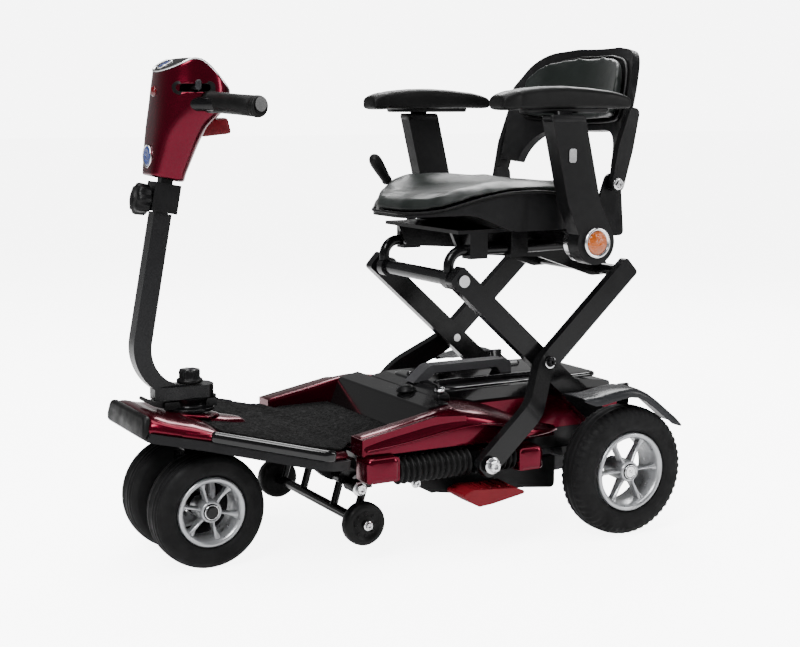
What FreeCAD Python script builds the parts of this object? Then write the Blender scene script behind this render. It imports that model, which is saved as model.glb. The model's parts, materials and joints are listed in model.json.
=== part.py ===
import FreeCAD, Part
import math
import os

import Sketcher

# Folding mobility scooter, millimetres.  +X is forward, +Y the rider's left, +Z up, z = 0 the floor.
# Places along X are first given from the rear axle; place() moves them to the frame whose origin
# is the middle of the footprint on the floor.

Vector = FreeCAD.Vector
Rotation = FreeCAD.Rotation
Placement = FreeCAD.Placement

doc = FreeCAD.newDocument("mobility_scooter")

# ---------------------------------------------------------------- driving dimensions

SIZES = {
    "rear_axle_shift": -334.03,
    "wheel_base": 683,
    "rear_tyre_radius": 110,
    "rear_tyre_width": 62,
    "rear_track_half": 227,
    "rear_rim_radius": 64,
    "front_tyre_radius": 92.5,
    "front_tyre_width": 60,
    "front_track_half": 60,
    "front_rim_radius": 53,
    "front_axle_radius": 8,
    "rear_axle_radius": 10,
    "running_gap": 0.05,
    "mid_wheel_radius": 35,
    "mid_wheel_width": 26,
    "mid_wheel_half_track": 165,
    "mid_beam_radius": 8,
    "rail_inner": 98,
    "rail_width": 26,
    "rail_bottom": 132,
    "rail_height": 36,
    "plate_thickness": 3,
    "slide_rail_radius": 8,
    "slide_rail_side": 192,
    "pivot_low": 150,
    "pivot_high": 436,
    "arm_rear": -48,
    "arm_front": 266,
    "arm_depth": 36,
    "straight_arm_inner": 128,
    "straight_arm_width": 20,
    "cross_arm_inner": 152,
    "cross_arm_width": 16,
    "cross_arm_offset": 65,
    "pivot_pin_radius": 7,
    "slide_pin_radius": 6,
    "cross_tube_radius": 12,
    "rear_tube_radius": 10,
    "loop_tube_radius": 9,
    "loop_side": 110,
    "loop_height": 482,
    "deck_hinge_along": 474,
    "deck_hinge_height": 130,
    "hinge_pin_radius": 6,
    "deck_tilt": 10,
    "tray_thickness": 14,
    "cover_thickness": 12,
    "cover_front_rise": 12.5,
    "strip_height": 18,
    "mat_thickness": 6,
    "kingpin_radius": 14,
    "stem_width": 26,
    "foot_width": 46,
    "stem_lean": 10.7,
    "bar_radius": 11,
    "grip_radius": 16,
    "hub_radius": 36,
    "hub_height": 498,
    "hub_along": 75,
    "hub_pin_radius": 12,
    "post_inner": 216,
    "post_outer": 246,
    "pad_width": 50,
    "back_pivot_along": -14,
    "back_pivot_height": 588,
    "back_pivot_side": 172,
    "back_pin_radius": 6,
}

sheet = doc.addObject("Spreadsheet::Sheet", "sizes")
for row, (alias, number) in enumerate(SIZES.items(), start=1):
    sheet.set("A%d" % row, alias)
    sheet.set("B%d" % row, str(number))
    sheet.setAlias("B%d" % row, alias)
doc.recompute()


def size(alias):
    return float(getattr(sheet, alias))


WHEEL_BASE = size("wheel_base")
GAP = size("running_gap")
LEFT, RIGHT = 1, -1
SIDES = (("left", LEFT), ("right", RIGHT))

# ---------------------------------------------------------------- building helpers

sub_parts = []


def bind(obj, prop, value):
    """A size is either a plain number or an expression on the sheet, as in 'sizes.wheel_base'."""
    if isinstance(value, str):
        obj.setExpression(prop, value)
    else:
        setattr(obj, prop, value)


def place(along=0.0, across=0.0, up=0.0, axis=(0, 0, 1), angle=0.0):
    base = Vector(size("rear_axle_shift") + along, across, up)
    return Placement(base, Rotation(Vector(*axis), angle))


def make(kind, name, where=None, **properties):
    obj = doc.addObject(kind, name)
    for prop, value in properties.items():
        bind(obj, prop, value)
    if where is not None:
        obj.Placement = where
    return obj


def box(name, low, high):
    """A box between two corners, each (along, across, up)."""
    where = place(*low)
    return make("Part::Box", name, where, Length=high[0] - low[0], Width=high[1] - low[1],
                Height=high[2] - low[2])


def rod(name, radius, start, end):
    """A round bar between two points, each (along, across, up)."""
    run = Vector(*end) - Vector(*start)
    obj = make("Part::Cylinder", name, Radius=radius, Height=run.Length)
    base = Vector(size("rear_axle_shift"), 0, 0) + Vector(*start)
    obj.Placement = Placement(base, Rotation(Vector(0, 0, 1), run))
    return obj


def fuse(name, *shapes):
    return make("Part::MultiFuse", name, Shapes=list(shapes))


def cut(name, base, *tools):
    tool = tools[0] if len(tools) == 1 else fuse(name + "_tools", *tools)
    return make("Part::Cut", name, Base=base, Tool=tool)


def common(name, first, second):
    return make("Part::Common", name, Base=first, Tool=second)


def mirror(name, source):
    """The same piece on the other side of the scooter's middle plane."""
    return make("Part::Mirroring", name, Source=source, Normal=Vector(0, 1, 0))


def both(name, source):
    """A left-hand piece and its mirror image, as two separate solids."""
    return group(name, source, mirror(name + "_right", source))


def group(name, *shapes):
    return make("Part::Compound", name, Links=list(shapes))


def sub_part(label, obj):
    obj.Label = label
    sub_parts.append(obj)
    return obj


def edges_of(points):
    """Closed outline through points (u, v) or (u, v, corner_radius)."""
    corners = []
    count = len(points)
    for index, point in enumerate(points):
        here = Vector(point[0], point[1], 0)
        if len(point) == 2:
            corners.append((here, None, here))
            continue
        before = points[index - 1]
        after = points[(index + 1) % count]
        back = (Vector(before[0], before[1], 0) - here).normalize()
        ahead = (Vector(after[0], after[1], 0) - here).normalize()
        half = math.acos(max(-1.0, min(1.0, back.dot(ahead)))) / 2
        reach = point[2] / math.tan(half)
        centre = here + (back + ahead).normalize() * (point[2] / math.sin(half))
        middle = centre + (here - centre).normalize() * point[2]
        corners.append((here + back * reach, middle, here + ahead * reach))
    edges = []
    for index, (_, _, leave) in enumerate(corners):
        enter, middle, exit_point = corners[(index + 1) % count]
        if (enter - leave).Length > 1e-6:
            edges.append(Part.LineSegment(leave, enter))
        if middle is not None:
            edges.append(Part.Arc(enter, middle, exit_point))
    return edges


def new_body(name, where=None):
    body = doc.addObject("PartDesign::Body", name)
    body.Placement = where or place()
    return body


def sketch_on(body, plane, offset=0.0, points=(), circles=()):
    """A sketch on one of the body's own origin planes, moved along its normal by offset."""
    sketch = body.newObject("Sketcher::SketchObject", body.Name + "_outline")
    role = plane + "_Plane"
    support = [item for item in body.Origin.OriginFeatures if item.Role == role][0]
    sketch.AttachmentSupport = [(support, "")]
    sketch.MapMode = "FlatFace"
    sketch.AttachmentOffset = Placement(Vector(0, 0, offset), Rotation())
    if points:
        for edge in edges_of(points):
            sketch.addGeometry(edge, False)
    for u, v, radius in circles:
        index = sketch.addGeometry(Part.Circle(Vector(u, v, 0), Vector(0, 0, 1), 1.0), False)
        number = sketch.addConstraint(Sketcher.Constraint("Radius", index, 1.0))
        if isinstance(radius, str):
            sketch.setExpression("Constraints[%d]" % number, radius)
        else:
            sketch.setDatum(number, FreeCAD.Units.Quantity("%f mm" % radius))
    return sketch


def pad(body, sketch, depth, symmetric=False):
    feature = body.newObject("PartDesign::Pad", body.Name + "_pad")
    feature.Profile = sketch
    bind(feature, "Length", depth)
    feature.Midplane = symmetric
    return feature


def pocket(body, sketch):
    feature = body.newObject("PartDesign::Pocket", body.Name + "_pocket")
    feature.Profile = sketch
    feature.Type = "ThroughAll"
    feature.Midplane = True
    return feature


def prism(name, plane, start, depth, points, circles=(), where=None):
    """An outline padded by depth.  start is the sketch's place on the plane's axis; on the XZ
    plane the pad runs towards -Y, on XY towards +Z and on YZ towards +X."""
    body = new_body(name, where)
    offset = -start if plane == "XZ" else start
    pad(body, sketch_on(body, plane, offset, points, circles), depth)
    return body


def centred_prism(name, plane, depth, points, circles=(), where=None):
    body = new_body(name, where)
    pad(body, sketch_on(body, plane, 0.0, points, circles), depth, symmetric=True)
    return body


def turned(name, plane, axis, points, where=None):
    """A profile turned about the sketch's own H_Axis or V_Axis."""
    body = new_body(name, where)
    sketch = sketch_on(body, plane, 0.0, points)
    feature = body.newObject("PartDesign::Revolution", name + "_turn")
    feature.Profile = sketch
    feature.ReferenceAxis = (sketch, [axis])
    feature.Angle = 360
    return body


def loft(name, sections):
    """A solid through closed outlines, each (height, points), on planes parallel to XY."""
    body = new_body(name)
    sketches = [sketch_on(body, "XY", height, points) for height, points in sections]
    feature = body.newObject("PartDesign::AdditiveLoft", name + "_loft")
    feature.Profile = sketches[0]
    feature.Sections = sketches[1:]
    feature.Ruled = True
    return body


def rounded_rectangle(low_u, high_u, low_v, high_v, radius):
    return [(low_u, low_v, radius), (high_u, low_v, radius), (high_u, high_v, radius),
            (low_u, high_v, radius)]


def mirrored_plan(points):
    """A plan outline, symmetric about the middle plane, from its left half."""
    return list(points) + [(p[0], -p[1]) + tuple(p[2:]) for p in reversed(points)]


def pipe(name, path_plane, path_offset, path_points, bend, profile_plane, profile_offset, circle):
    """A round tube along straight runs with rounded corners; circle is (u, v, radius) on the
    plane that its first run leaves at right angles."""
    body = new_body(name)
    path = sketch_on(body, path_plane, path_offset)
    previous = Vector(*path_points[0], 0)
    for here_point, after_point in zip(path_points[1:], path_points[2:]):
        here = Vector(*here_point, 0)
        back = (previous - here).normalize()
        ahead = (Vector(*after_point, 0) - here).normalize()
        half = math.acos(back.dot(ahead)) / 2
        reach = bend / math.tan(half)
        centre = here + (back + ahead).normalize() * (bend / math.sin(half))
        middle = centre + (here - centre).normalize() * bend
        path.addGeometry(Part.LineSegment(previous, here + back * reach), False)
        path.addGeometry(Part.Arc(here + back * reach, middle, here + ahead * reach), False)
        previous = here + ahead * reach
    path.addGeometry(Part.LineSegment(previous, Vector(*path_points[-1], 0)), False)
    profile = sketch_on(body, profile_plane, profile_offset, (), [circle])
    feature = body.newObject("PartDesign::AdditivePipe", name + "_sweep")
    feature.Profile = profile
    feature.Spine = path
    return body


# ---------------------------------------------------------------- chassis

PIVOT_LOW = size("pivot_low")
PIVOT_HIGH = size("pivot_high")
ARM_REAR = size("arm_rear")
ARM_FRONT = size("arm_front")
RAIL_INNER = size("rail_inner")
RAIL_OUTER = RAIL_INNER + size("rail_width")
RAIL_LOW = size("rail_bottom")
RAIL_TOP = RAIL_LOW + size("rail_height")
REAR_AXLE = size("rear_tyre_radius")
FRONT_AXLE = size("front_tyre_radius")
HINGE_ALONG = size("deck_hinge_along")
HINGE_UP = size("deck_hinge_height")
SLIDE_SIDE = size("slide_rail_side")
STRAIGHT_IN = size("straight_arm_inner")
STRAIGHT_OUT = STRAIGHT_IN + size("straight_arm_width")
CROSS_IN = size("cross_arm_inner")
CROSS_OUT = CROSS_IN + size("cross_arm_width")
CROSS_LOW_IN = CROSS_IN + size("cross_arm_offset")
CROSS_LOW_OUT = CROSS_OUT + size("cross_arm_offset")
RAIL_REAR_END = -75
RAIL_FRONT_END = 455
FRONT_BLOCK = (421, 469)
REAR_BLOCK = (156, 197)
BLOCK_IN = 172
BLOCK_OUT = 214
COVER_TOP = 226


def build_rear_frame():
    """Two side rails, their cross members, axle brackets, the lower scissor pins, the slide rails
    with their outriggers, and the lugs and pin of the deck hinge."""
    rail = box("rail", (RAIL_REAR_END, RAIL_INNER, RAIL_LOW), (RAIL_FRONT_END, RAIL_OUTER, RAIL_TOP))
    bracket = prism("axle_bracket", "XZ", RAIL_INNER + 20, 20,
                    [(-34, RAIL_LOW + 4), (34, RAIL_LOW + 4), (22, 88, 14), (-22, 88, 14)],
                    [(0, REAR_AXLE, 14 + GAP)])
    lower_pin = rod("lower_scissor_pin", "sizes.pivot_pin_radius",
                    (ARM_REAR, RAIL_OUTER - 2, PIVOT_LOW), (ARM_REAR, STRAIGHT_OUT + 1.5, PIVOT_LOW))
    lug = prism("hinge_lug", "XZ", RAIL_OUTER, "sizes.rail_width",
                [(450, 134), (HINGE_ALONG, 116, 12), (HINGE_ALONG + 13, 130, 10),
                 (HINGE_ALONG, 144, 12), (450, 164)])
    hinge_pin = rod("hinge_pin", "sizes.hinge_pin_radius",
                    (HINGE_ALONG, 64, HINGE_UP), (HINGE_ALONG, RAIL_OUTER, HINGE_UP))
    side = fuse("side_rail", rail, bracket, lower_pin, lug, hinge_pin)
    slide = rod("slide_rail", "sizes.slide_rail_radius",
                (REAR_BLOCK[1], SLIDE_SIDE, PIVOT_LOW), (FRONT_BLOCK[0], SLIDE_SIDE, PIVOT_LOW))
    rear_outrigger = box("rear_outrigger", (REAR_BLOCK[0] + 4, RAIL_OUTER, 136),
                         (REAR_BLOCK[1] - 6, BLOCK_IN, 162))
    front_outrigger = box("front_outrigger", (FRONT_BLOCK[0] + 6, RAIL_OUTER, 142),
                          (FRONT_BLOCK[1] - 14, BLOCK_IN, 166))
    members = [box("cross_member_%d" % number, (along, -RAIL_INNER, RAIL_LOW),
                   (along + 24, RAIL_INNER, RAIL_LOW + 14))
               for number, along in enumerate((RAIL_REAR_END, 205, 400))]
    halves = [both(name + "_pair", obj) for name, obj in
              (("side_rail", side), ("slide_rail", slide), ("rear_outrigger", rear_outrigger),
               ("front_outrigger", front_outrigger))]
    return sub_part("rear_frame", group("rear_frame", *halves, *members))


def build_rear_body_cover():
    """The painted shell: sills round the foot well, a narrow cover between the scissor arms, a
    low shelf beside it and the end blocks of the slide rails."""
    wall = size("plate_thickness")
    well_end = HINGE_ALONG + 4
    sill = prism("sill", "XZ", 198, 38,
                 [(290, 180), (well_end, 180), (well_end, 206), (346, 230, 20), (290, 226)])
    sill_cavity = prism("sill_cavity", "XZ", 198 - wall, 38 - 2 * wall,
                        [(290 + wall, 170), (well_end - wall, 170), (well_end - wall, 203),
                         (346, 227, 20), (290 + wall, 223)])
    hollow_sill = cut("hollow_sill", sill, sill_cavity)
    well_floor = box("well_floor", (358, -160, 186), (well_end, 160, 189))
    shelf = box("shelf", (95, RAIL_OUTER, 172), (290, 164, 175))
    shelf_side = box("shelf_side", (95, 161, 166), (290, 164, 172))
    centre_roof = box("centre_roof", (RAIL_REAR_END, -RAIL_OUTER, COVER_TOP - wall),
                      (300, RAIL_OUTER, COVER_TOP))
    centre_side = box("centre_side", (RAIL_REAR_END, RAIL_OUTER - wall, RAIL_TOP + 0.5),
                      (300, RAIL_OUTER, COVER_TOP - wall))
    ends = [box("centre_end_%d" % number, (along, wall - RAIL_OUTER, RAIL_TOP + 0.5),
                (along + wall, RAIL_OUTER - wall, COVER_TOP - wall))
            for number, along in enumerate((RAIL_REAR_END, 300 - wall))]
    front_block = prism("front_block", "XZ", BLOCK_OUT, BLOCK_OUT - BLOCK_IN,
                        [(FRONT_BLOCK[0], 139, 3), (FRONT_BLOCK[1], 139, 3),
                         (FRONT_BLOCK[1], 178, 6), (FRONT_BLOCK[0], 178, 6)])
    rear_block = prism("rear_block", "XZ", BLOCK_OUT, BLOCK_OUT - BLOCK_IN,
                       [(REAR_BLOCK[0], 127, 3), (REAR_BLOCK[1], 127, 3),
                        (REAR_BLOCK[1], 164, 6), (REAR_BLOCK[0], 164, 6)])
    halves = [both(name + "_pair", obj) for name, obj in
              (("sill", hollow_sill), ("shelf", shelf), ("shelf_side", shelf_side),
               ("centre_side", centre_side), ("front_block", front_block),
               ("rear_block", rear_block))]
    return sub_part("rear_body_cover", group("rear_body_cover", *halves, well_floor, centre_roof,
                                             *ends))


def build_top_cover():
    """Gloss cover over the battery: a long plate, and a front block that slopes into the well."""
    plate = centred_prism("cover_plate", "XZ", 224,
                          [(-60, COVER_TOP + 0.5), (300.5, COVER_TOP + 0.5), (300.5, 242, 4),
                           (270, 248, 20), (20, 248, 30), (-60, 238, 6)])
    nose = centred_prism("cover_nose", "XZ", 318,
                         [(301, 189.5), (357, 189.5), (338, 235, 6), (301, 242)])
    return sub_part("top_cover", group("top_cover", plate, nose))


def build_battery_pack():
    return sub_part("battery_pack", box("battery_pack", (120, -85, 150), (290, 85, 218)))


def build_transaxle():
    """Gearbox and motor under the cover, with the axle tubes and the wheel shafts."""
    gearbox = rod("gearbox", 44, (0, -40, REAR_AXLE), (0, 40, REAR_AXLE))
    motor = rod("motor", 31, (30, 0, 108), (150, 0, 108))
    tube = rod("axle_tube", 14, (0, -RAIL_OUTER, REAR_AXLE), (0, RAIL_OUTER, REAR_AXLE))
    shaft = rod("wheel_shaft", "sizes.rear_axle_radius", (0, -250, REAR_AXLE), (0, 250, REAR_AXLE))
    return sub_part("transaxle", fuse("transaxle", gearbox, motor, tube, shaft))


def bellows_profile(start, end):
    """Half section of a pleated sleeve: (along, radius) with one ridge per pleat."""
    pleats = max(3, round((end - start) / 10.5))
    pitch = (end - start) / pleats
    ridge, valley, bore = 22, 17, 10
    points = [(start, bore), (start, valley)]
    for number in range(pleats):
        left = start + number * pitch
        points += [(left + 0.25 * pitch, ridge), (left + 0.6 * pitch, ridge),
                   (left + 0.85 * pitch, valley)]
    return points + [(end, valley), (end, bore)]


def build_bellows():
    spans = (("bellows_front", ARM_FRONT + 17, FRONT_BLOCK[0] - 1),
             ("bellows_rear", REAR_BLOCK[1] + 1, ARM_FRONT - 17))
    sleeves = [turned(name, "XZ", "H_Axis", bellows_profile(start, end),
                      place(0, SLIDE_SIDE, PIVOT_LOW)) for name, start, end in spans]
    return sub_part("bellows", group("bellows", *[both(b.Name + "_pair", b) for b in sleeves]))


def build_fenders():
    """An arched guard over each rear tyre and the arm that carries it."""
    guard = prism("guard", "XZ", 258, 60,
                  [(98, 244), (64, 237, 40), (-8, 255, 110), (-104, 182), (-102, 179.5),
                   (-8, 251.5, 106), (64, 233.6, 44), (98, 240.5)])
    arm = box("guard_arm", (-34, 112.5, COVER_TOP), (-6, 199, COVER_TOP + 4))
    post = box("guard_post", (-34, 195, COVER_TOP + 4), (-12, 198, 246))
    return sub_part("fenders", group("fenders", both("guard_pair", guard), both("arm_pair", arm),
                                     both("post_pair", post)))


def build_tail_lights():
    lens = prism("tail_lens", "YZ", RAIL_REAR_END - 7, 7,
                 [(90, 184, 5), (122, 184, 5), (122, 220, 8), (90, 220, 8)])
    return sub_part("tail_lights", both("tail_lights", lens))


def build_lift_handle():
    """Carrying handle: a low bridge on the top cover."""
    handle = centred_prism("lift_handle", "XZ", 30,
                           [(84, 248), (104, 248), (114, 262, 6), (240, 262, 6), (258, 248),
                            (284, 248), (252, 275, 18), (84, 275, 14)])
    return sub_part("lift_handle", handle)


def build_floor_mat_rear():
    return sub_part("floor_mat_rear", box("floor_mat_rear", (360, -159, 189), (476, 159, 195)))


def build_belly_pan():
    """Under-tray: two side skirts, the floor between them and the ears and pin of the pedal."""
    skirt = prism("skirt", "XZ", 168, 18,
                  [(424, 131), (383, 122, 30), (330, 98, 20), (295, 92, 60), (159, 84, 20),
                   (95, 76, 8), (95, 131)])
    floor = box("pan_floor", (158, -150, 92), (326, 150, 95))
    ears = [box("pedal_ear_%d" % number, (along, 168, 95), (along + 6, 180, 106))
            for number, along in enumerate((214, 294))]
    pin = rod("pedal_pin", 3, (216, 175, 101), (298, 175, 101))
    pedal_side = fuse("pedal_hinge", *ears, pin)
    return sub_part("belly_pan", group("belly_pan", both("skirt_pair", skirt), floor, pedal_side))


def build_mid_wheel_bracket():
    """Anti-tip ladder under the deck hinge: cross bar, struts, axle beam and bolt bosses."""
    along, up = 460, 64
    bar = box("ladder_bar", (436, -150, 116), (450, 150, RAIL_LOW))
    beam = rod("ladder_beam", "sizes.mid_beam_radius", (along, -151, up), (along, 151, up))
    axle = rod("ladder_axle", 5, (along, -183, up), (along, 183, up))
    struts = [rod("strut_%d" % number, 6.5, (444, side, 118), (along, side, up))
              for number, side in enumerate((-138, -58, 58, 138))]
    bosses = []
    for name, side in SIDES:
        bosses.append(rod("boss_" + name, 10, (466, side * 127, 121), (466, side * 160, 121)))
        low, high = sorted((side * 127, side * 150))
        bosses.append(box("boss_web_" + name, (446, low, 117), (466, high, 127)))
    return sub_part("mid_wheel_bracket", fuse("mid_wheel_bracket", bar, beam, axle, *struts, *bosses))


def build_frame_bolts():
    """Plated bolt heads on the ladder bosses and the skirts, and the rear wheel nuts."""
    boss_bolt = rod("boss_bolt", 8, (466, 160, 121), (466, 168, 121))
    skirt_bolt = rod("skirt_bolt", 6, (367, 168, 119), (367, 172, 119))
    wheel_nut = rod("wheel_nut", 9, (0, 250, REAR_AXLE), (0, 254, REAR_AXLE))
    pairs = [both(obj.Name + "_pair", obj) for obj in (boss_bolt, skirt_bolt, wheel_nut)]
    return sub_part("frame_bolts", group("frame_bolts", *pairs))


def build_release_pedal():
    """Foot pedal with a sleeve that turns on the pin of the under-tray."""
    plate = prism("pedal_plate", "XZ", 236, 54,
                  [(322, 105, 5), (298, 113, 8), (216, 106, 8), (194, 97, 3), (262, 86, 14),
                   (288, 84, 8)])
    sleeve = rod("pedal_sleeve", 6.5, (221, 175, 101), (293, 175, 101))
    web = box("pedal_web", (224, 176, 97), (290, 184, 105))
    bore = rod("pedal_bore", 3 + GAP, (215, 175, 101), (299, 175, 101))
    return sub_part("release_pedal", cut("release_pedal", fuse("pedal_solid", plate, sleeve, web),
                                         bore))


# ---------------------------------------------------------------- wheels


def tyre(name, where, radius, rim_radius, width):
    half = width / 2
    shoulder = radius - 0.12 * radius
    return turned(name, "YZ", "H_Axis",
                  [(-half + 4, rim_radius), (half - 4, rim_radius), (half, rim_radius + 12, 5),
                   (half - 1, shoulder, 8), (half - 11, radius, 9), (11 - half, radius, 9),
                   (1 - half, shoulder, 8), (-half, rim_radius + 12, 5)], where)


def rim(name, where, rim_radius, width, bore, inner_face):
    """Six-spoke rim; its outer face is on +Y.  inner_face is where the hub starts."""
    edge = width / 2 - 4
    hub = 18
    body = turned(name, "YZ", "H_Axis",
                  [(-edge, rim_radius), (edge, rim_radius), (edge, rim_radius - 4),
                   (edge - 10, rim_radius - 6), (edge - 13, rim_radius - 13), (edge - 6, hub),
                   (edge - 3, hub - 2), (edge - 3, bore), (inner_face, bore), (inner_face, hub),
                   (edge - 21, hub), (edge - 21, rim_radius - 8), (edge - 30, rim_radius - 4),
                   (-edge, rim_radius - 4)], where)
    doc.recompute()
    spread = math.radians(21)
    inner, outer = hub + 5, rim_radius - 13
    window = [(inner * math.sin(-spread * 0.8), inner * math.cos(spread * 0.8), 2),
              (outer * math.sin(-spread), outer * math.cos(spread), 4),
              (outer * math.sin(spread), outer * math.cos(spread), 4),
              (inner * math.sin(spread * 0.8), inner * math.cos(spread * 0.8), 2)]
    opening = pocket(body, sketch_on(body, "XZ", 0.0, window))
    pattern = body.newObject("PartDesign::PolarPattern", name + "_windows")
    pattern.Originals = [opening]
    axis = [item for item in body.Origin.OriginFeatures if item.Role == "Y_Axis"][0]
    pattern.Axis = (axis, [""])
    pattern.Angle = 360
    pattern.Occurrences = 6
    body.Tip = pattern
    return body


def build_wheels():
    sets = (("rear", 0, REAR_AXLE, size("rear_track_half"), size("rear_tyre_width"),
             size("rear_rim_radius"), size("rear_axle_radius") + GAP),
            ("front", WHEEL_BASE, FRONT_AXLE, size("front_track_half"), size("front_tyre_width"),
             size("front_rim_radius"), size("front_axle_radius") + GAP))
    for end, along, up, side, width, rim_radius, bore in sets:
        where = place(along, side, up)
        left_tyre = tyre(end + "_tyre_left", where, up, rim_radius, width)
        left_rim = rim(end + "_rim_left", where, rim_radius, width, bore, 4 - width / 2)
        sub_part(end + "_tyre_left", left_tyre)
        sub_part(end + "_rim_left", left_rim)
        sub_part(end + "_tyre_right", mirror(end + "_tyre_right", left_tyre))
        sub_part(end + "_rim_right", mirror(end + "_rim_right", left_rim))


def build_mid_wheels():
    radius = size("mid_wheel_radius")
    half = size("mid_wheel_width") / 2
    wheel = turned("mid_wheel_left", "YZ", "H_Axis",
                   [(-half, 5 + GAP), (half, 5 + GAP), (half, 12), (half - 3, 14),
                    (half - 3, radius - 9), (half, radius - 7), (half - 2, radius, 7),
                    (2 - half, radius, 7), (-half, radius - 7), (3 - half, radius - 9),
                    (3 - half, 14), (-half, 12)],
                   place(460, size("mid_wheel_half_track"), 64))
    sub_part("mid_wheel_left", wheel)
    sub_part("mid_wheel_right", mirror("mid_wheel_right", wheel))


# ---------------------------------------------------------------- front deck

DECK_RISE = 160.8


def deck_place():
    """The front deck's own frame: origin on its underside above the hinge, tilted nose up."""
    return place(HINGE_ALONG, 0, DECK_RISE, (0, 1, 0), -size("deck_tilt"))


TRAY_TOP = size("tray_thickness")
COVER_LOW_TOP = TRAY_TOP + size("cover_thickness")
COVER_HIGH_TOP = COVER_LOW_TOP + size("cover_front_rise")


def build_front_tray():
    """The load-bearing tray with its hinge lugs and the steering head tube."""
    plate = prism("tray_plate", "XY", 0, "sizes.tray_thickness",
                  mirrored_plan([(32, 212, 10), (84, 240, 40), (233, 132, 50), (316, 92, 14)]),
                  (), deck_place())
    head_tube = rod("head_tube", 24, (WHEEL_BASE, 0, 198), (WHEEL_BASE, 0, 238))
    lug = prism("tray_lug", "XZ", 95, 26,
                [(HINGE_ALONG, 118, 11), (HINGE_ALONG + 14, 124, 8), (548, 178), (508, 172),
                 (HINGE_ALONG + 2, 143, 8), (HINGE_ALONG - 11, 133, 8)])
    lug_bore = rod("lug_bore", size("hinge_pin_radius") + GAP,
                   (HINGE_ALONG, -96, HINGE_UP), (HINGE_ALONG, 96, HINGE_UP))
    head_bore = rod("head_bore", size("kingpin_radius") + GAP,
                    (WHEEL_BASE, 0, 150), (WHEEL_BASE, 0, 260))
    solid = fuse("tray_solid", plate, head_tube, lug, mirror("tray_lug_right", lug))
    return sub_part("front_tray", cut("front_tray", solid, lug_bore, head_bore))


def build_front_cover():
    """Painted deck cover: low behind the steering head, raised in front, with a rounded hump."""
    body = prism("cover_body", "XY", TRAY_TOP, "sizes.cover_thickness",
                 mirrored_plan([(34, 203, 8), (84, 231, 34), (233, 124, 44), (314, 88, 14)]),
                 (), deck_place())
    raised = sketch_on(body, "XY", COVER_LOW_TOP,
                       mirrored_plan([(222, 128, 12), (240, 120, 20), (312, 84, 12)]))
    pad(body, raised, "sizes.cover_front_rise")
    hump = sketch_on(body, "XY", COVER_LOW_TOP, rounded_rectangle(128, 196, -30, 30, 26))
    pad(body, hump, 10)
    hole = rod("cover_hole", 24.5, (WHEEL_BASE, 0, 180), (WHEEL_BASE, 0, 270))
    well = rod("cover_well", 41, (WHEEL_BASE, 0, 239), (WHEEL_BASE, 0, 270))
    return sub_part("front_cover", cut("front_cover", body, hole, well))


def build_deck_trim():
    bumper = prism("bumper_pad", "YZ", 316.2, 9,
                   [(-92, 2, 9), (92, 2, 9), (80, 37, 8), (-80, 37, 8)], (), deck_place())
    sub_part("bumper_pad", bumper)
    strip = prism("strip", "XY", TRAY_TOP, "sizes.strip_height",
                  [(74, 233), (74, 241, 2), (90, 241, 12), (233, 137, 10), (233, 127),
                   (86, 233)], (), deck_place())
    sub_part("side_strips", both("side_strips", strip))
    mat = prism("floor_mat_front", "XY", COVER_LOW_TOP, "sizes.mat_thickness",
                mirrored_plan([(36, 196, 8), (84, 222, 20), (214, 128, 20), (218, 36, 6),
                               (122, 36, 30)]), (), deck_place())
    sub_part("floor_mat_front", mat)


# ---------------------------------------------------------------- steering and tiller

FOOT_LOW = 262
FOOT_TOP = 282
TILLER_PIVOT = (650, 0, 254)
LATCH_PIVOT = (725, 0, 252.5)
KNOB_RISE = 16
LEAN = math.radians(size("stem_lean"))
STEM_TOP = Vector(725, 0, 554)
UP_STEM = Vector(-math.sin(LEAN), 0, math.cos(LEAN))
FRONT_OF_STEM = Vector(math.cos(LEAN), 0, math.sin(LEAN))


def on_stem(rise, forward=0.0, side=0.0):
    """A point at a height along the stem's own line, measured from the top of the stem."""
    point = STEM_TOP + UP_STEM * rise + FRONT_OF_STEM * forward + Vector(0, side, 0)
    return (point.x, point.y, point.z)


def stem_box(name, rise, length, depth, width):
    """A box on the stem's line, leaning with it."""
    corner = on_stem(rise, -depth / 2, -width / 2)
    where = place(*corner, axis=(0, 1, 0), angle=-size("stem_lean"))
    return make("Part::Box", name, where, Length=depth, Width=width, Height=length)


def fork_solid():
    """Kingpin through the head tube, the block between the twin wheels and their axle."""
    kingpin = rod("kingpin", "sizes.kingpin_radius", (WHEEL_BASE, 0, 150), (WHEEL_BASE, 0, 261))
    block = prism("fork_block", "XZ", 24, 48,
                  [(WHEEL_BASE - 17, 76, 14), (WHEEL_BASE + 17, 76, 14),
                   (WHEEL_BASE + 21, 188, 8), (WHEEL_BASE - 21, 188, 8)])
    axle = rod("front_axle", "sizes.front_axle_radius",
               (WHEEL_BASE, -88, FRONT_AXLE), (WHEEL_BASE, 88, FRONT_AXLE))
    return fuse("fork_solid", kingpin, block, axle)


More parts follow.
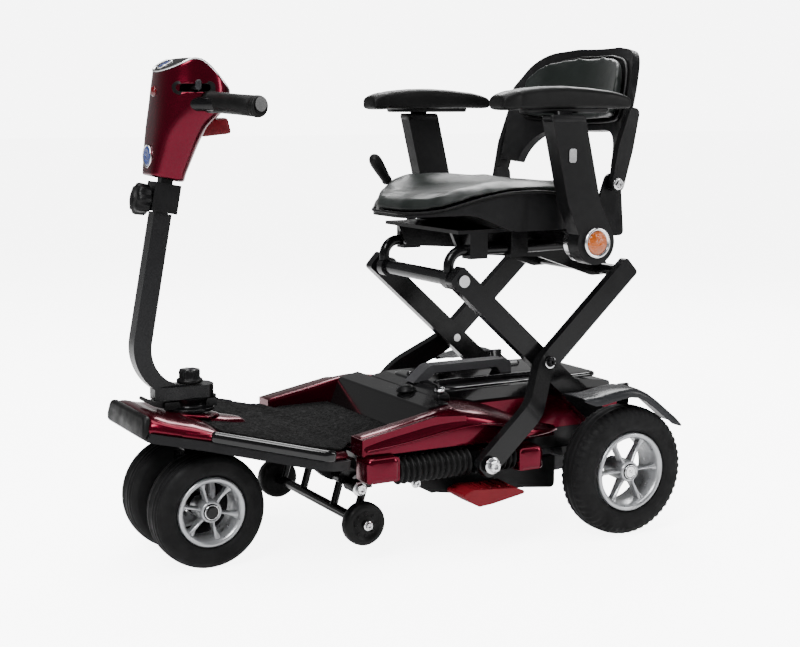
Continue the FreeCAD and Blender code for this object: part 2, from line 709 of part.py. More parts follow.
def knuckle_solid():
    """Conical head on the kingpin, slotted for the tiller's lug, with ears for the latch."""
    cone = turned("knuckle_cone", "XZ", "V_Axis",
                  [(size("kingpin_radius") + GAP, 241), (38, 241, 1), (38, 246, 1), (27, 249, 3),
                   (31, 261.5), (size("kingpin_radius") + GAP, 261.5)], place(WHEEL_BASE))
    slot = box("knuckle_slot", (640, -13.5, 243), (666, 13.5, 263))
    pin = rod("tiller_pin", 4.5, (TILLER_PIVOT[0], -22, TILLER_PIVOT[2]),
              (TILLER_PIVOT[0], 22, TILLER_PIVOT[2]))
    cheeks = [box("cheek_" + name, (646, min(side * 14, side * 22), 247),
                  (664, max(side * 14, side * 22), 260)) for name, side in SIDES]
    ears = [box("ear_" + name, (700, min(side * 12, side * 17), 246.5),
                (731, max(side * 12, side * 17), 258)) for name, side in SIDES]
    latch_pin = rod("latch_pin", 3, (LATCH_PIVOT[0], -16, LATCH_PIVOT[2]),
                    (LATCH_PIVOT[0], 16, LATCH_PIVOT[2]))
    slotted = cut("slotted_cone", fuse("cone_with_ears", cone, *cheeks, *ears), slot)
    return fuse("knuckle_solid", slotted, pin, latch_pin)


def build_steering_fork():
    return sub_part("steering_fork", group("steering_fork", fork_solid(), knuckle_solid()))


def build_tiller_stem():
    """Curved stem: the upright leans back, turns under and ends in the flat foot."""
    high = on_stem(0, -14.3)
    front_high = on_stem(0, 14.3)
    down = 554 - FOOT_TOP
    rear_corner = on_stem(-down / math.cos(LEAN), -14.3)
    front_corner = on_stem(-(554 - FOOT_LOW) / math.cos(LEAN), 14.3)
    curve = centred_prism("stem_curve", "XZ", "sizes.stem_width",
                          [(high[0], high[2]), (rear_corner[0] - 1, FOOT_TOP, 60),
                           (652, FOOT_TOP), (652, FOOT_LOW),
                           (front_corner[0] + 1, FOOT_LOW, 84),
                           (front_high[0], front_high[2])])
    half = size("foot_width") / 2
    foot = prism("stem_foot", "XY", FOOT_LOW, FOOT_TOP - FOOT_LOW,
                 mirrored_plan([(646, half, 18), (712, half, 30), (745, 12)]))
    lug = prism("tiller_lug", "XZ", 13, 26,
                [(643.5, FOOT_LOW + 2), (643.5, 248, 5), (656.5, 248, 5), (656.5, FOOT_LOW + 2)])
    lug_bore = rod("tiller_lug_bore", 4.5 + GAP, (TILLER_PIVOT[0], -15, TILLER_PIVOT[2]),
                   (TILLER_PIVOT[0], 15, TILLER_PIVOT[2]))
    socket = stem_box("stem_socket", -135, 140, 19.2, 18.2)
    solid = fuse("stem_solid", curve, foot, lug)
    return sub_part("tiller_stem", cut("tiller_stem", solid, lug_bore, socket))


def build_tiller_fittings():
    knob = turned("pivot_knob", "XZ", "V_Axis",
                  [(0, FOOT_TOP), (6, FOOT_TOP), (6, FOOT_TOP + 2.5), (21, FOOT_TOP + 2.5),
                   (21, FOOT_TOP + 6, 2), (17, FOOT_TOP + 8), (17, FOOT_TOP + 23, 4),
                   (0, FOOT_TOP + 23)], place(WHEEL_BASE))
    sub_part("pivot_knob", knob)
    block = stem_box("collar_block", 1, 45, 42, 36)
    passage = stem_box("collar_passage", 0, 60, 19.2, 18.2)
    screw_bore = rod("collar_screw_bore", 4 + GAP, on_stem(KNOB_RISE, 5), on_stem(KNOB_RISE, 30))
    sub_part("stem_collar", cut("stem_collar", block, passage, screw_bore))
    latch = cut("tiller_latch",
                prism("latch_lever", "XZ", 11, 22,
                      [(719, 247.2, 3), (729, 247.2, 4), (746, 253, 10), (764, 263, 3),
                       (762, 269, 3), (747.5, 261, 4), (719, 260.5, 4)]),
                rod("latch_bore", 3 + GAP, (LATCH_PIVOT[0], -12, LATCH_PIVOT[2]),
                    (LATCH_PIVOT[0], 12, LATCH_PIVOT[2])))
    sub_part("tiller_latch", latch)
    knob_grip = rod("height_knob_grip", 24, on_stem(KNOB_RISE, 22), on_stem(KNOB_RISE, 47))
    knob_screw = rod("height_knob_screw", 4, on_stem(KNOB_RISE, 11), on_stem(KNOB_RISE, 23))
    sub_part("height_knob", fuse("height_knob", knob_grip, knob_screw))


BAR_UP = 720
BAR_PATH = [(692, 0), (692, 50), (655, 97), (631, 178)]


def half_bar(name, radius):
    return pipe(name, "XY", BAR_UP, BAR_PATH, 24, "XZ", 0.0, (BAR_PATH[0][0], BAR_UP, radius))


# Heights of the head with its rear edge, front edge, half width and corner radius.
HEAD_LEVELS = ((606, 690, 742, 33, 19), (660, 668, 742, 46, 30), (692, 652, 740, 58, 36),
               (706, 630, 738, 64, 42), (740, 624, 732, 66, 44), (806, 632, 722, 60, 38))
# The edge where the cowl meets the console, from the front to the rear, as (along, up).
CONSOLE_EDGE = ((790, 758), (753, 759), (737, 762), (712, 776), (686, 789), (668, 783), (640, 752),
                (622, 735), (600, 720))
CONSOLE_RISE = 8
LEVER_AT = (688, 744)
DIAL_AT = Vector(650, 0, 771.1)
DIAL_UP = Vector(-0.742, 0, 0.67)


def head_loft(name, inset):
    sections = []
    for up, rear, front, half, corner in HEAD_LEVELS:
        level = up + inset if up == HEAD_LEVELS[0][0] else up
        sections.append((level, rounded_rectangle(rear + inset, front - inset, inset - half,
                                                  half - inset, corner)))
    return loft(name, sections)


def below_edge(name, lowered):
    """Everything under the console's edge, lowered by a distance."""
    points = [(790, 560)] + [(along, up - lowered) for along, up in CONSOLE_EDGE] + [(600, 560)]
    return centred_prism(name, "XZ", 200, points)


def build_head():
    """Sliding column and crossbar, the cowl and console round them, grips, lever and dial."""
    column = stem_box("column", -105, 285, 19, 18)
    bar = half_bar("crossbar_half", "sizes.bar_radius")
    lever_pin = rod("throttle_pin", 4, (LEVER_AT[0], 0, 722), (LEVER_AT[0], 0, LEVER_AT[1] + 5))
    handlebar = fuse("handlebar", column, bar, mirror("crossbar_right_half", bar), lever_pin)
    sub_part("handlebar", handlebar)

    column_hole = stem_box("column_hole", 40, 30, 21, 20)
    bar_hole = half_bar("bar_hole", 12)
    slot = box("lever_slot", (LEVER_AT[0] - 28, -90, LEVER_AT[1] - 6),
               (LEVER_AT[0] + 28, 90, LEVER_AT[1] + 6))
    outside = common("cowl_outside", head_loft("head_outer", 0), below_edge("cowl_limit", 0))
    inside = common("cowl_inside", head_loft("head_inner", 5), below_edge("cowl_inner_limit", 4))
    dial_hole = rod("dial_hole", 3 + GAP, tuple(DIAL_AT - DIAL_UP * 14), tuple(DIAL_AT + DIAL_UP * 9))
    shell = cut("head_shell", outside, inside, column_hole, bar_hole,
                mirror("bar_hole_right", bar_hole), slot, dial_hole)
    sub_part("head_shell", shell)

    upper = [(along, up + 0.5) for along, up in CONSOLE_EDGE]
    top = [(along, up + CONSOLE_RISE) for along, up in reversed(CONSOLE_EDGE)]
    console_slice = centred_prism("console_slice", "XZ", 200, upper + top)
    console = common("console_body", head_loft("console_outer", 2), console_slice)
    sub_part("console_panel", cut("console_panel", console, dial_hole))
    dial = fuse("speed_dial",
                rod("dial_cap", 8, tuple(DIAL_AT + DIAL_UP * 0.5), tuple(DIAL_AT + DIAL_UP * 8)),
                rod("dial_shaft", 3, tuple(DIAL_AT - DIAL_UP * 6), tuple(DIAL_AT + DIAL_UP)))
    sub_part("speed_dial", dial)

    near, end = Vector(655, 97, BAR_UP), Vector(631, 178, BAR_UP)
    run = (end - near).normalize()
    start = near + run * 6
    stop = end + run * 4
    tube = rod("grip_tube", "sizes.grip_radius", tuple(start), tuple(stop))
    core = rod("grip_core", "sizes.bar_radius", tuple(start - run), tuple(end))
    sub_part("grips", both("grips", cut("grip", tube, core)))

    arm = box("throttle_arm", (LEVER_AT[0] - 4, -80, LEVER_AT[1] - 4),
              (LEVER_AT[0] + 4, 80, LEVER_AT[1] + 4))
    boss = rod("throttle_boss", 9, (LEVER_AT[0], 0, LEVER_AT[1] - 4), (LEVER_AT[0], 0, LEVER_AT[1] + 4))
    paddle = box("throttle_paddle", (LEVER_AT[0] - 5, 70, LEVER_AT[1] - 12),
                 (LEVER_AT[0] + 5, 76, LEVER_AT[1] + 12))
    pin_bore = rod("throttle_bore", 4 + GAP, (LEVER_AT[0], 0, 730), (LEVER_AT[0], 0, 760))
    lever = cut("throttle_lever", fuse("throttle_solid", arm, boss, paddle,
                                       mirror("throttle_paddle_right", paddle)), pin_bore)
    sub_part("throttle_lever", lever)


# ---------------------------------------------------------------- scissor lift

ARM_RUN = Vector(ARM_FRONT - ARM_REAR, 0, PIVOT_HIGH - PIVOT_LOW)
ARM_LENGTH = ARM_RUN.Length
ARM_ANGLE = math.degrees(math.atan2(ARM_RUN.z, ARM_RUN.x))
ARM_MIDDLE = ((ARM_REAR + ARM_FRONT) / 2, (PIVOT_LOW + PIVOT_HIGH) / 2)
HALF_DEPTH = size("arm_depth") / 2


def build_lift_arms():
    """Straight arms from the rear lower pins to the cross tube under the seat's front."""
    where = place(ARM_REAR, 0, PIVOT_LOW, (0, 1, 0), -ARM_ANGLE)
    arm = prism("straight_arm", "XZ", STRAIGHT_OUT, "sizes.straight_arm_width",
                [(-HALF_DEPTH, -HALF_DEPTH, 12), (ARM_LENGTH + HALF_DEPTH, -HALF_DEPTH, 6),
                 (ARM_LENGTH + HALF_DEPTH, HALF_DEPTH, 6), (-HALF_DEPTH, HALF_DEPTH, 12)],
                [(0, 0, size("pivot_pin_radius") + GAP),
                 (ARM_LENGTH / 2, 0, size("pivot_pin_radius") + GAP),
                 (ARM_LENGTH, 0, size("pivot_pin_radius") + GAP)], where)
    tube = rod("lift_cross_tube", "sizes.cross_tube_radius",
               (ARM_FRONT, -STRAIGHT_IN, PIVOT_HIGH), (ARM_FRONT, STRAIGHT_IN, PIVOT_HIGH))
    return sub_part("lift_arms", group("lift_arms", both("straight_arm_pair", arm), tube))


def build_scissor_pins():
    """Pins of the crossing and of the upper front ends, with their heads."""
    pins = []
    for name, (along, up), outer in (("cross", ARM_MIDDLE, CROSS_OUT + 0.5),
                                     ("front", (ARM_FRONT, PIVOT_HIGH), STRAIGHT_OUT + 0.5)):
        shank = rod(name + "_pin_shank", "sizes.pivot_pin_radius", (along, STRAIGHT_IN, up),
                    (along, outer, up))
        head = rod(name + "_pin_head", 10, (along, outer, up), (along, outer + 3, up))
        pins.append(both(name + "_pin_pair", fuse(name + "_pin", shank, head)))
    return sub_part("scissor_pins", group("scissor_pins", *pins))


def build_cross_arms():
    """Outer arms from the rear upper tube; below the crossing they step outwards past the body."""
    where = place(ARM_REAR, 0, PIVOT_HIGH, (0, 1, 0), ARM_ANGLE)
    step_start = ARM_LENGTH / 2 + 14
    step_end = step_start + 84
    offset = size("cross_arm_offset")
    bar = centred_prism("stepped_bar", "XY", "sizes.arm_depth",
                        [(-HALF_DEPTH, CROSS_IN), (step_start, CROSS_IN, 60),
                         (step_end, CROSS_IN + offset, 60), (ARM_LENGTH + HALF_DEPTH, CROSS_LOW_IN),
                         (ARM_LENGTH + HALF_DEPTH, CROSS_LOW_OUT),
                         (step_end - 6, CROSS_LOW_OUT, 60), (step_start - 6, CROSS_OUT, 60),
                         (-HALF_DEPTH, CROSS_OUT)], (), where)
    silhouette = prism("arm_silhouette", "XZ", CROSS_LOW_OUT + 5, 100,
                       [(-HALF_DEPTH, -HALF_DEPTH, 6), (ARM_LENGTH + HALF_DEPTH, -HALF_DEPTH, 12),
                        (ARM_LENGTH + HALF_DEPTH, HALF_DEPTH, 12), (-HALF_DEPTH, HALF_DEPTH, 6)],
                       [(ARM_LENGTH / 2, 0, size("pivot_pin_radius") + GAP),
                        (ARM_LENGTH, 0, size("slide_pin_radius") + GAP)], where)
    pin_seat = rod("cross_pin_seat", 12, (ARM_MIDDLE[0], CROSS_OUT, ARM_MIDDLE[1]),
                   (ARM_MIDDLE[0], CROSS_OUT + 14, ARM_MIDDLE[1]))
    arm = cut("stepped_arm", common("arm_in_silhouette", bar, silhouette), pin_seat)
    tube = rod("rear_cross_tube", "sizes.rear_tube_radius",
               (ARM_REAR, -CROSS_IN, PIVOT_HIGH), (ARM_REAR, CROSS_IN, PIVOT_HIGH))
    return sub_part("cross_arms", group("cross_arms", both("stepped_arm_pair", arm), tube))


def build_slide_carriages():
    """Blocks on the slide rails, each with the headed pin of a cross arm's foot."""
    block = box("carriage_block", (ARM_FRONT - 16, SLIDE_SIDE - 16, PIVOT_LOW - 16),
                (ARM_FRONT + 16, SLIDE_SIDE + 21, PIVOT_LOW + 16))
    bore = rod("carriage_bore", size("slide_rail_radius") + GAP,
               (ARM_FRONT - 20, SLIDE_SIDE, PIVOT_LOW), (ARM_FRONT + 20, SLIDE_SIDE, PIVOT_LOW))
    pin = rod("carriage_pin", "sizes.slide_pin_radius", (ARM_FRONT, SLIDE_SIDE + 18, PIVOT_LOW),
              (ARM_FRONT, CROSS_LOW_OUT + 1, PIVOT_LOW))
    head = rod("carriage_pin_head", 11, (ARM_FRONT, CROSS_LOW_OUT + 1, PIVOT_LOW),
               (ARM_FRONT, CROSS_LOW_OUT + 8, PIVOT_LOW))
    carriage = fuse("carriage", cut("bored_block", block, bore), pin, head)
    return sub_part("slide_carriages", both("slide_carriages", carriage))


def build_seat_loops():
    """Bent tubes that turn on the front cross tube and slide under the seat frame."""
    side = size("loop_side")
    height = size("loop_height")
    tube = pipe("loop_tube", "XZ", -side, [(40, height), (272, height), (272, PIVOT_HIGH + 12)],
                26, "YZ", 40.0, (side, height, "sizes.loop_tube_radius"))
    sleeve = rod("loop_sleeve", 17, (ARM_FRONT, side - 9, PIVOT_HIGH),
                 (ARM_FRONT, side + 9, PIVOT_HIGH))
    bore = rod("loop_sleeve_bore", size("cross_tube_radius") + GAP,
               (ARM_FRONT, side - 20, PIVOT_HIGH), (ARM_FRONT, side + 20, PIVOT_HIGH))
    loop = cut("seat_loop", fuse("loop_solid", tube, sleeve), bore)
    return sub_part("seat_loops", both("seat_loops", loop))


# ---------------------------------------------------------------- seat

HUB_ALONG = size("hub_along")
HUB_UP = size("hub_height")
POST_IN = size("post_inner")
POST_OUT = size("post_outer")
BACK_ALONG = size("back_pivot_along")
BACK_UP = size("back_pivot_height")
BACK_SIDE = size("back_pivot_side")
LEVER_PIVOT = (160, -206, 508)


def build_seat_base():
    """Seat frame: plate, cross tubes, guides of the loops, rear hangers and backrest brackets."""
    plate = box("seat_plate", (0, -124, 510), (262, 124, 516))
    cross = box("seat_cross_tube", (58, -202, 493), (92, 202, 510))
    rear_bar = box("seat_rear_bar", (-34, -166, 500), (-2, 166, 514))
    bridge = box("seat_bridge", (-6, -80, 510.5), (1, 80, 516))
    lever_bar = box("lever_bar", (150, -205, 500), (170, -124, 510))
    lever_pin = rod("lever_pin", 4, (LEVER_PIVOT[0], -204, 505), (LEVER_PIVOT[0], -216, 505))
    solids = [plate, cross, rear_bar, bridge, fuse("lever_mount", lever_bar, lever_pin)]
    for number, along in enumerate((125, 205)):
        guide = box("loop_guide_%d" % number, (along, 98, 468), (along + 34, 124, 510))
        bore = rod("guide_bore_%d" % number, size("loop_tube_radius") + 0.5,
                   (along - 5, size("loop_side"), size("loop_height")),
                   (along + 40, size("loop_side"), size("loop_height")))
        solids.append(both("guide_pair_%d" % number, cut("guide_%d" % number, guide, bore)))
    hanger = prism("rear_hanger", "XZ", 94, 8,
                   [(256, 509.5), (240, 474, 10), (80, 462, 40), (-30, 424, 8),
                    (ARM_REAR - 14, 424, 10), (ARM_REAR - 14, 450, 10), (-20, 456, 10),
                    (40, 492.5, 10), (57, 509.5)],
                   [(ARM_REAR, PIVOT_HIGH, size("rear_tube_radius") + GAP)])
    solids.append(both("rear_hanger_pair", hanger))
    bracket = prism("back_bracket", "XZ", BACK_SIDE, 6,
                    [(-37, 500, 8), (10, 500, 8), (16, 560, 12), (0, 605, 14), (-28, 605, 14)])
    pin = rod("back_pin", "sizes.back_pin_radius", (BACK_ALONG, BACK_SIDE - 4, BACK_UP),
              (BACK_ALONG, BACK_SIDE + 15, BACK_UP))
    solids.append(both("back_bracket_pair", fuse("back_bracket_solid", bracket, pin)))
    return sub_part("seat_base", group("seat_base", *solids))


def seat_plan(name, rear_half, front_half, low, high):
    """Plan of the seat: narrow at the rear between the backrest's legs, wide further forward and
    rounded off towards the front."""
    return prism(name, "XY", low, high - low,
                 mirrored_plan([(14, rear_half, 14), (52, rear_half, 40), (112, front_half, 50),
                                (205, front_half, 90), (300, front_half * 0.58, 60),
                                (352, front_half * 0.24, 50)]))


# The seam between the seat's pan and its cushion, from the rear to the front, as (along, up).
SEAT_SEAM = ((12, 571), (113, 575), (150, 580, 120), (212, 579, 80), (262, 564, 80), (300, 548, 60),
             (330, 540, 60), (360, 540))


def build_seat():
    pan_side = centred_prism("pan_side", "XZ", 420,
                             [(12, 517), (204, 517, 50), (258, 542, 40), (302, 539, 20), (345, 534), (360, 534)]
                             + list(reversed(SEAT_SEAM)))
    sub_part("seat_pan", common("seat_pan", pan_side, seat_plan("pan_plan", 162, 196, 500, 620)))
    seam = [(point[0], point[1] + 1) + tuple(point[2:]) for point in SEAT_SEAM]
    cushion_side = centred_prism("cushion_side", "XZ", 430,
                                 seam + [(360, 556), (340, 576, 30), (270, 586, 80), (205, 595, 80),
                                         (12, 590, 10)])
    sub_part("seat_cushion", common("seat_cushion", cushion_side,
                                    seat_plan("cushion_plan", 165, 202, 530, 640)))


def build_armrests():
    """Fixed hubs with their pins and reflectors; posts, pads and lock buttons that flip with them."""
    pin_radius = size("hub_pin_radius")
    drum = rod("hub_drum", 34, (HUB_ALONG, 202, HUB_UP), (HUB_ALONG, POST_IN - 0.5, HUB_UP))
    pin = rod("hub_pin", "sizes.hub_pin_radius", (HUB_ALONG, POST_IN - 2, HUB_UP),
              (HUB_ALONG, POST_OUT + 0.5, HUB_UP))
    sub_part("armrest_hubs", both("armrest_hubs", fuse("hub", drum, pin)))
    reflector = turned("reflector", "YZ", "H_Axis",
                       [(POST_OUT + 0.5, 0), (POST_OUT + 0.5, 25), (POST_OUT + 4.5, 25, 1.5),
                        (POST_OUT + 8, 19.5, 3), (POST_OUT + 9, 0)], place(HUB_ALONG, 0, HUB_UP))
    sub_part("reflectors", both("reflectors", reflector))

    lean = math.degrees(math.atan2(32, 134))
    disc = rod("post_disc", "sizes.hub_radius", (HUB_ALONG, POST_IN, HUB_UP),
               (HUB_ALONG, POST_OUT, HUB_UP))
    upright = prism("post_upright", "XZ", POST_OUT, POST_OUT - POST_IN,
                    [(42, 512), (68, 562, 40), (101, 702, 4), (165, 702, 4), (132, 562, 40),
                     (110, 512)])
    bore = rod("post_bore", pin_radius + GAP, (HUB_ALONG, POST_IN - 1, HUB_UP),
               (HUB_ALONG, POST_OUT + 1, HUB_UP))
    middle = (POST_IN + POST_OUT) / 2

    def leaning_box(name, rise, length, depth, width):
        corner = Vector(133.2, middle - width / 2, 702) - Vector(depth / 2, 0, 0)
        along_post = Vector(math.sin(math.radians(lean)), 0, math.cos(math.radians(lean)))
        start = corner + along_post * rise
        return make("Part::Box", name, place(start.x, start.y, start.z, (0, 1, 0), lean),
                    Length=depth, Width=width, Height=length)

    socket = leaning_box("post_socket", -110, 130, 30.2, 14.2)
    recess = box("button_recess", (117.9, 239, 627.9), (132.1, 250, 650.1))
    post = cut("armrest_post_left", fuse("post_solid", disc, upright), bore, socket, recess)
    button = prism("armrest_button_left", "XZ", 247.5, 5,
                   rounded_rectangle(118, 132, 628, 650, 4))
    tongue = leaning_box("pad_tongue", -100, 118, 30, 14)
    pad_solid = prism("pad_solid", "XZ", 238, "sizes.pad_width",
                      [(1, 722, 8), (40, 713, 40), (215, 711, 20), (249, 726, 8),
                       (240, 742, 14), (120, 749, 200), (8, 738, 8)])
    armrest_pad = fuse("armrest_pad_left", pad_solid, tongue)
    for label, left in (("armrest_post", post), ("armrest_button", button),
                        ("armrest_pad", armrest_pad)):
        right = mirror(label + "_right", left)
        sub_part(label + "_left", left)
        sub_part(label + "_right", right)


def build_seat_lever():
    """Stick with a round end, on a boss that turns on the pin of the seat frame."""
    boss = rod("lever_boss", 9, (LEVER_PIVOT[0], -206.2, 505), (LEVER_PIVOT[0], -215.4, 505))
    stick = rod("lever_stick", 4.5, (LEVER_PIVOT[0], -210.8, 505), (230, -210.8, 612))
    ball = make("Part::Sphere", "lever_ball", place(232, -212.5, 616), Radius=9)
    trimmed = cut("lever_ball_trimmed", ball, box("ball_trim", (200, -206.2, 590), (260, -190, 640)))
    bore = rod("lever_boss_bore", 4 + GAP, (LEVER_PIVOT[0], -200, 505), (LEVER_PIVOT[0], -220, 505))
    return sub_part("seat_lever", cut("seat_lever", fuse("lever_solid", boss, stick, trimmed), bore))


BACK_LEAN = 13
BACK_HALF = 183
BACK_DEPTH = 58


def back_band(name, gap_front, thickness, half, height):
    """A curved band, hollow side forward, round an upright axis in front of the back."""
    radius = (BACK_HALF ** 2 + BACK_DEPTH ** 2) / (2 * BACK_DEPTH)
    where = place(BACK_ALONG, 0, BACK_UP, (0, 1, 0), -BACK_LEAN)
    body = new_body(name, where)
    sketch = sketch_on(body, "XY", -20)
    centre_x = radius - BACK_DEPTH
    outer_r = radius - gap_front
    inner_r = outer_r - thickness
    angle = math.asin(half / radius)

    def on_circle(r, a):
        return Vector(centre_x - r * math.cos(a), r * math.sin(a), 0)

    sketch.addGeometry(Part.Arc(on_circle(outer_r, -angle), on_circle(outer_r, 0),
                                on_circle(outer_r, angle)), False)
    sketch.addGeometry(Part.LineSegment(on_circle(outer_r, angle), on_circle(inner_r, angle)), False)
    sketch.addGeometry(Part.Arc(on_circle(inner_r, angle), on_circle(inner_r, 0),
                                on_circle(inner_r, -angle)), False)
    sketch.addGeometry(Part.LineSegment(on_circle(inner_r, -angle), on_circle(outer_r, -angle)),
                       False)
    pad(body, sketch, height)
    return body


def mirrored_shell(outer, inner):
    """Arch outline: the outer left half, its mirror image, then the opening below."""
    flip = [(-p[0], p[1]) + tuple(p[2:]) for p in reversed(outer)]
    inner_flip = [(-p[0], p[1]) + tuple(p[2:]) for p in inner]
    return list(outer) + flip + inner_flip + list(reversed(inner))


def build_back():
    """Backrest shell with its two legs, and the cushion in its hollow side."""
    where = place(BACK_ALONG, 0, BACK_UP, (0, 1, 0), -BACK_LEAN)
    band = back_band("back_shell_band", 0.0, 14, BACK_HALF, 300)
    arch = prism("back_shell_arch", "YZ", -140, 240,
                 mirrored_shell([(BACK_HALF, 30), (BACK_HALF, 150, 90), (140, 232, 80),
                                 (60, 246, 100)],
                                [(142, 30), (126, 98, 76)]), (), where)
    shell = common("back_shell_curve", band, arch)
    leg = prism("back_leg", "XZ", 185, 12,
                [(-12, -12, 11), (12, -12, 11), (15, 60, 30), (6, 130, 10), (-14, 130, 10),
                 (-16, 60, 30)],
                [(0, 0, size("back_pin_radius") + GAP)], where)
    sub_part("back_shell", fuse("back_shell", shell, leg, mirror("back_leg_right", leg)))
    cushion_band = back_band("back_cushion_band", 14.5, 20, 166, 300)
    cushion_face = prism("back_cushion_face", "YZ", -140, 240,
                         [(-162, 112, 30), (162, 112, 30), (166, 160, 55), (128, 222, 80),
                          (50, 238, 100), (-50, 238, 100), (-128, 222, 80), (-166, 160, 55)],
                         (), where)
    sub_part("back_cushion", common("back_cushion", cushion_band, cushion_face))


build_rear_frame()
build_rear_body_cover()
build_top_cover()
build_battery_pack()
build_transaxle()
build_bellows()
build_fenders()
build_tail_lights()
build_lift_handle()
build_floor_mat_rear()
build_belly_pan()
build_mid_wheel_bracket()
build_frame_bolts()
build_release_pedal()
build_wheels()
build_mid_wheels()
build_front_tray()
build_front_cover()
build_deck_trim()
build_steering_fork()
build_tiller_stem()
build_tiller_fittings()
build_head()
build_lift_arms()
build_scissor_pins()
build_cross_arms()
build_slide_carriages()
build_seat_loops()
build_seat_base()
build_seat()
build_armrests()
build_seat_lever()
build_back()

# ---------------------------------------------------------------- checks and files

doc.recompute()
broken = [obj.Label for obj in doc.Objects if "Invalid" in obj.State or "Error" in obj.State]
if broken:
    raise SystemExit("features that failed: " + ", ".join(broken))
for obj in sub_parts:
    if obj.Shape.isNull() or not obj.Shape.isValid():
        raise SystemExit("not a valid solid: " + obj.Label)
os.makedirs("parts", exist_ok=True)
for obj in sub_parts:
    obj.Shape.exportStep("parts/" + obj.Label + ".step")
print(len(sub_parts), "sub-parts")
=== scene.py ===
import json
import math

import bmesh
import bpy
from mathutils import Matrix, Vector, noise


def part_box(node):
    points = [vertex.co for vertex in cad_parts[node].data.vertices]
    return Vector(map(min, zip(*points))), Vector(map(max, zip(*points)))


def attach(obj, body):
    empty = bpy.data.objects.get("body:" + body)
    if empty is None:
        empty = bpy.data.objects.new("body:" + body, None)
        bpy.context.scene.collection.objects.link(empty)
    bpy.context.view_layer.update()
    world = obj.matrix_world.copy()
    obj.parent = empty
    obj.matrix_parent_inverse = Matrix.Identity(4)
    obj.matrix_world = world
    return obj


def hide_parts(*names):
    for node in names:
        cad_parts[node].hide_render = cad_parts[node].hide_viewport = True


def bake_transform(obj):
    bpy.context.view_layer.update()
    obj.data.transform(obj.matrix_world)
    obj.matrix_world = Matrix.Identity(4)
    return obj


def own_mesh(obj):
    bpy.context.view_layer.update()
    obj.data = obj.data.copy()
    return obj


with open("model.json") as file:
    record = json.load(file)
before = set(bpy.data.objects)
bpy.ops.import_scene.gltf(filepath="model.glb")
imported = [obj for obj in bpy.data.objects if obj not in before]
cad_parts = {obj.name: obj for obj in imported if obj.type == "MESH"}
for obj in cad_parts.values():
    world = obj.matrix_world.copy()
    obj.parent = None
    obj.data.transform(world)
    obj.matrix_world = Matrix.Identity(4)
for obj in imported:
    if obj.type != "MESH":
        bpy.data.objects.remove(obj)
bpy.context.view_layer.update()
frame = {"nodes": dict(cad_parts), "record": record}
nodes = frame["nodes"]

MM = 0.001
SIDES = (("left", 1), ("right", -1))
tyre_low, tyre_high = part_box("rear_tyre_left")
REAR_AXLE = (tyre_low[0] + tyre_high[0]) / 2


def at(along, across, up):
    """A point in metres from millimetres measured from the rear axle, the middle and the floor."""
    return Vector((REAR_AXLE + along * MM, across * MM, up * MM))


# ---------------------------------------------------------------- materials

NOISE_RANGE = (0.3, 0.7)
CONVEX_RANGE = (0.54, 0.66)
FLECK_EDGE = 0.12


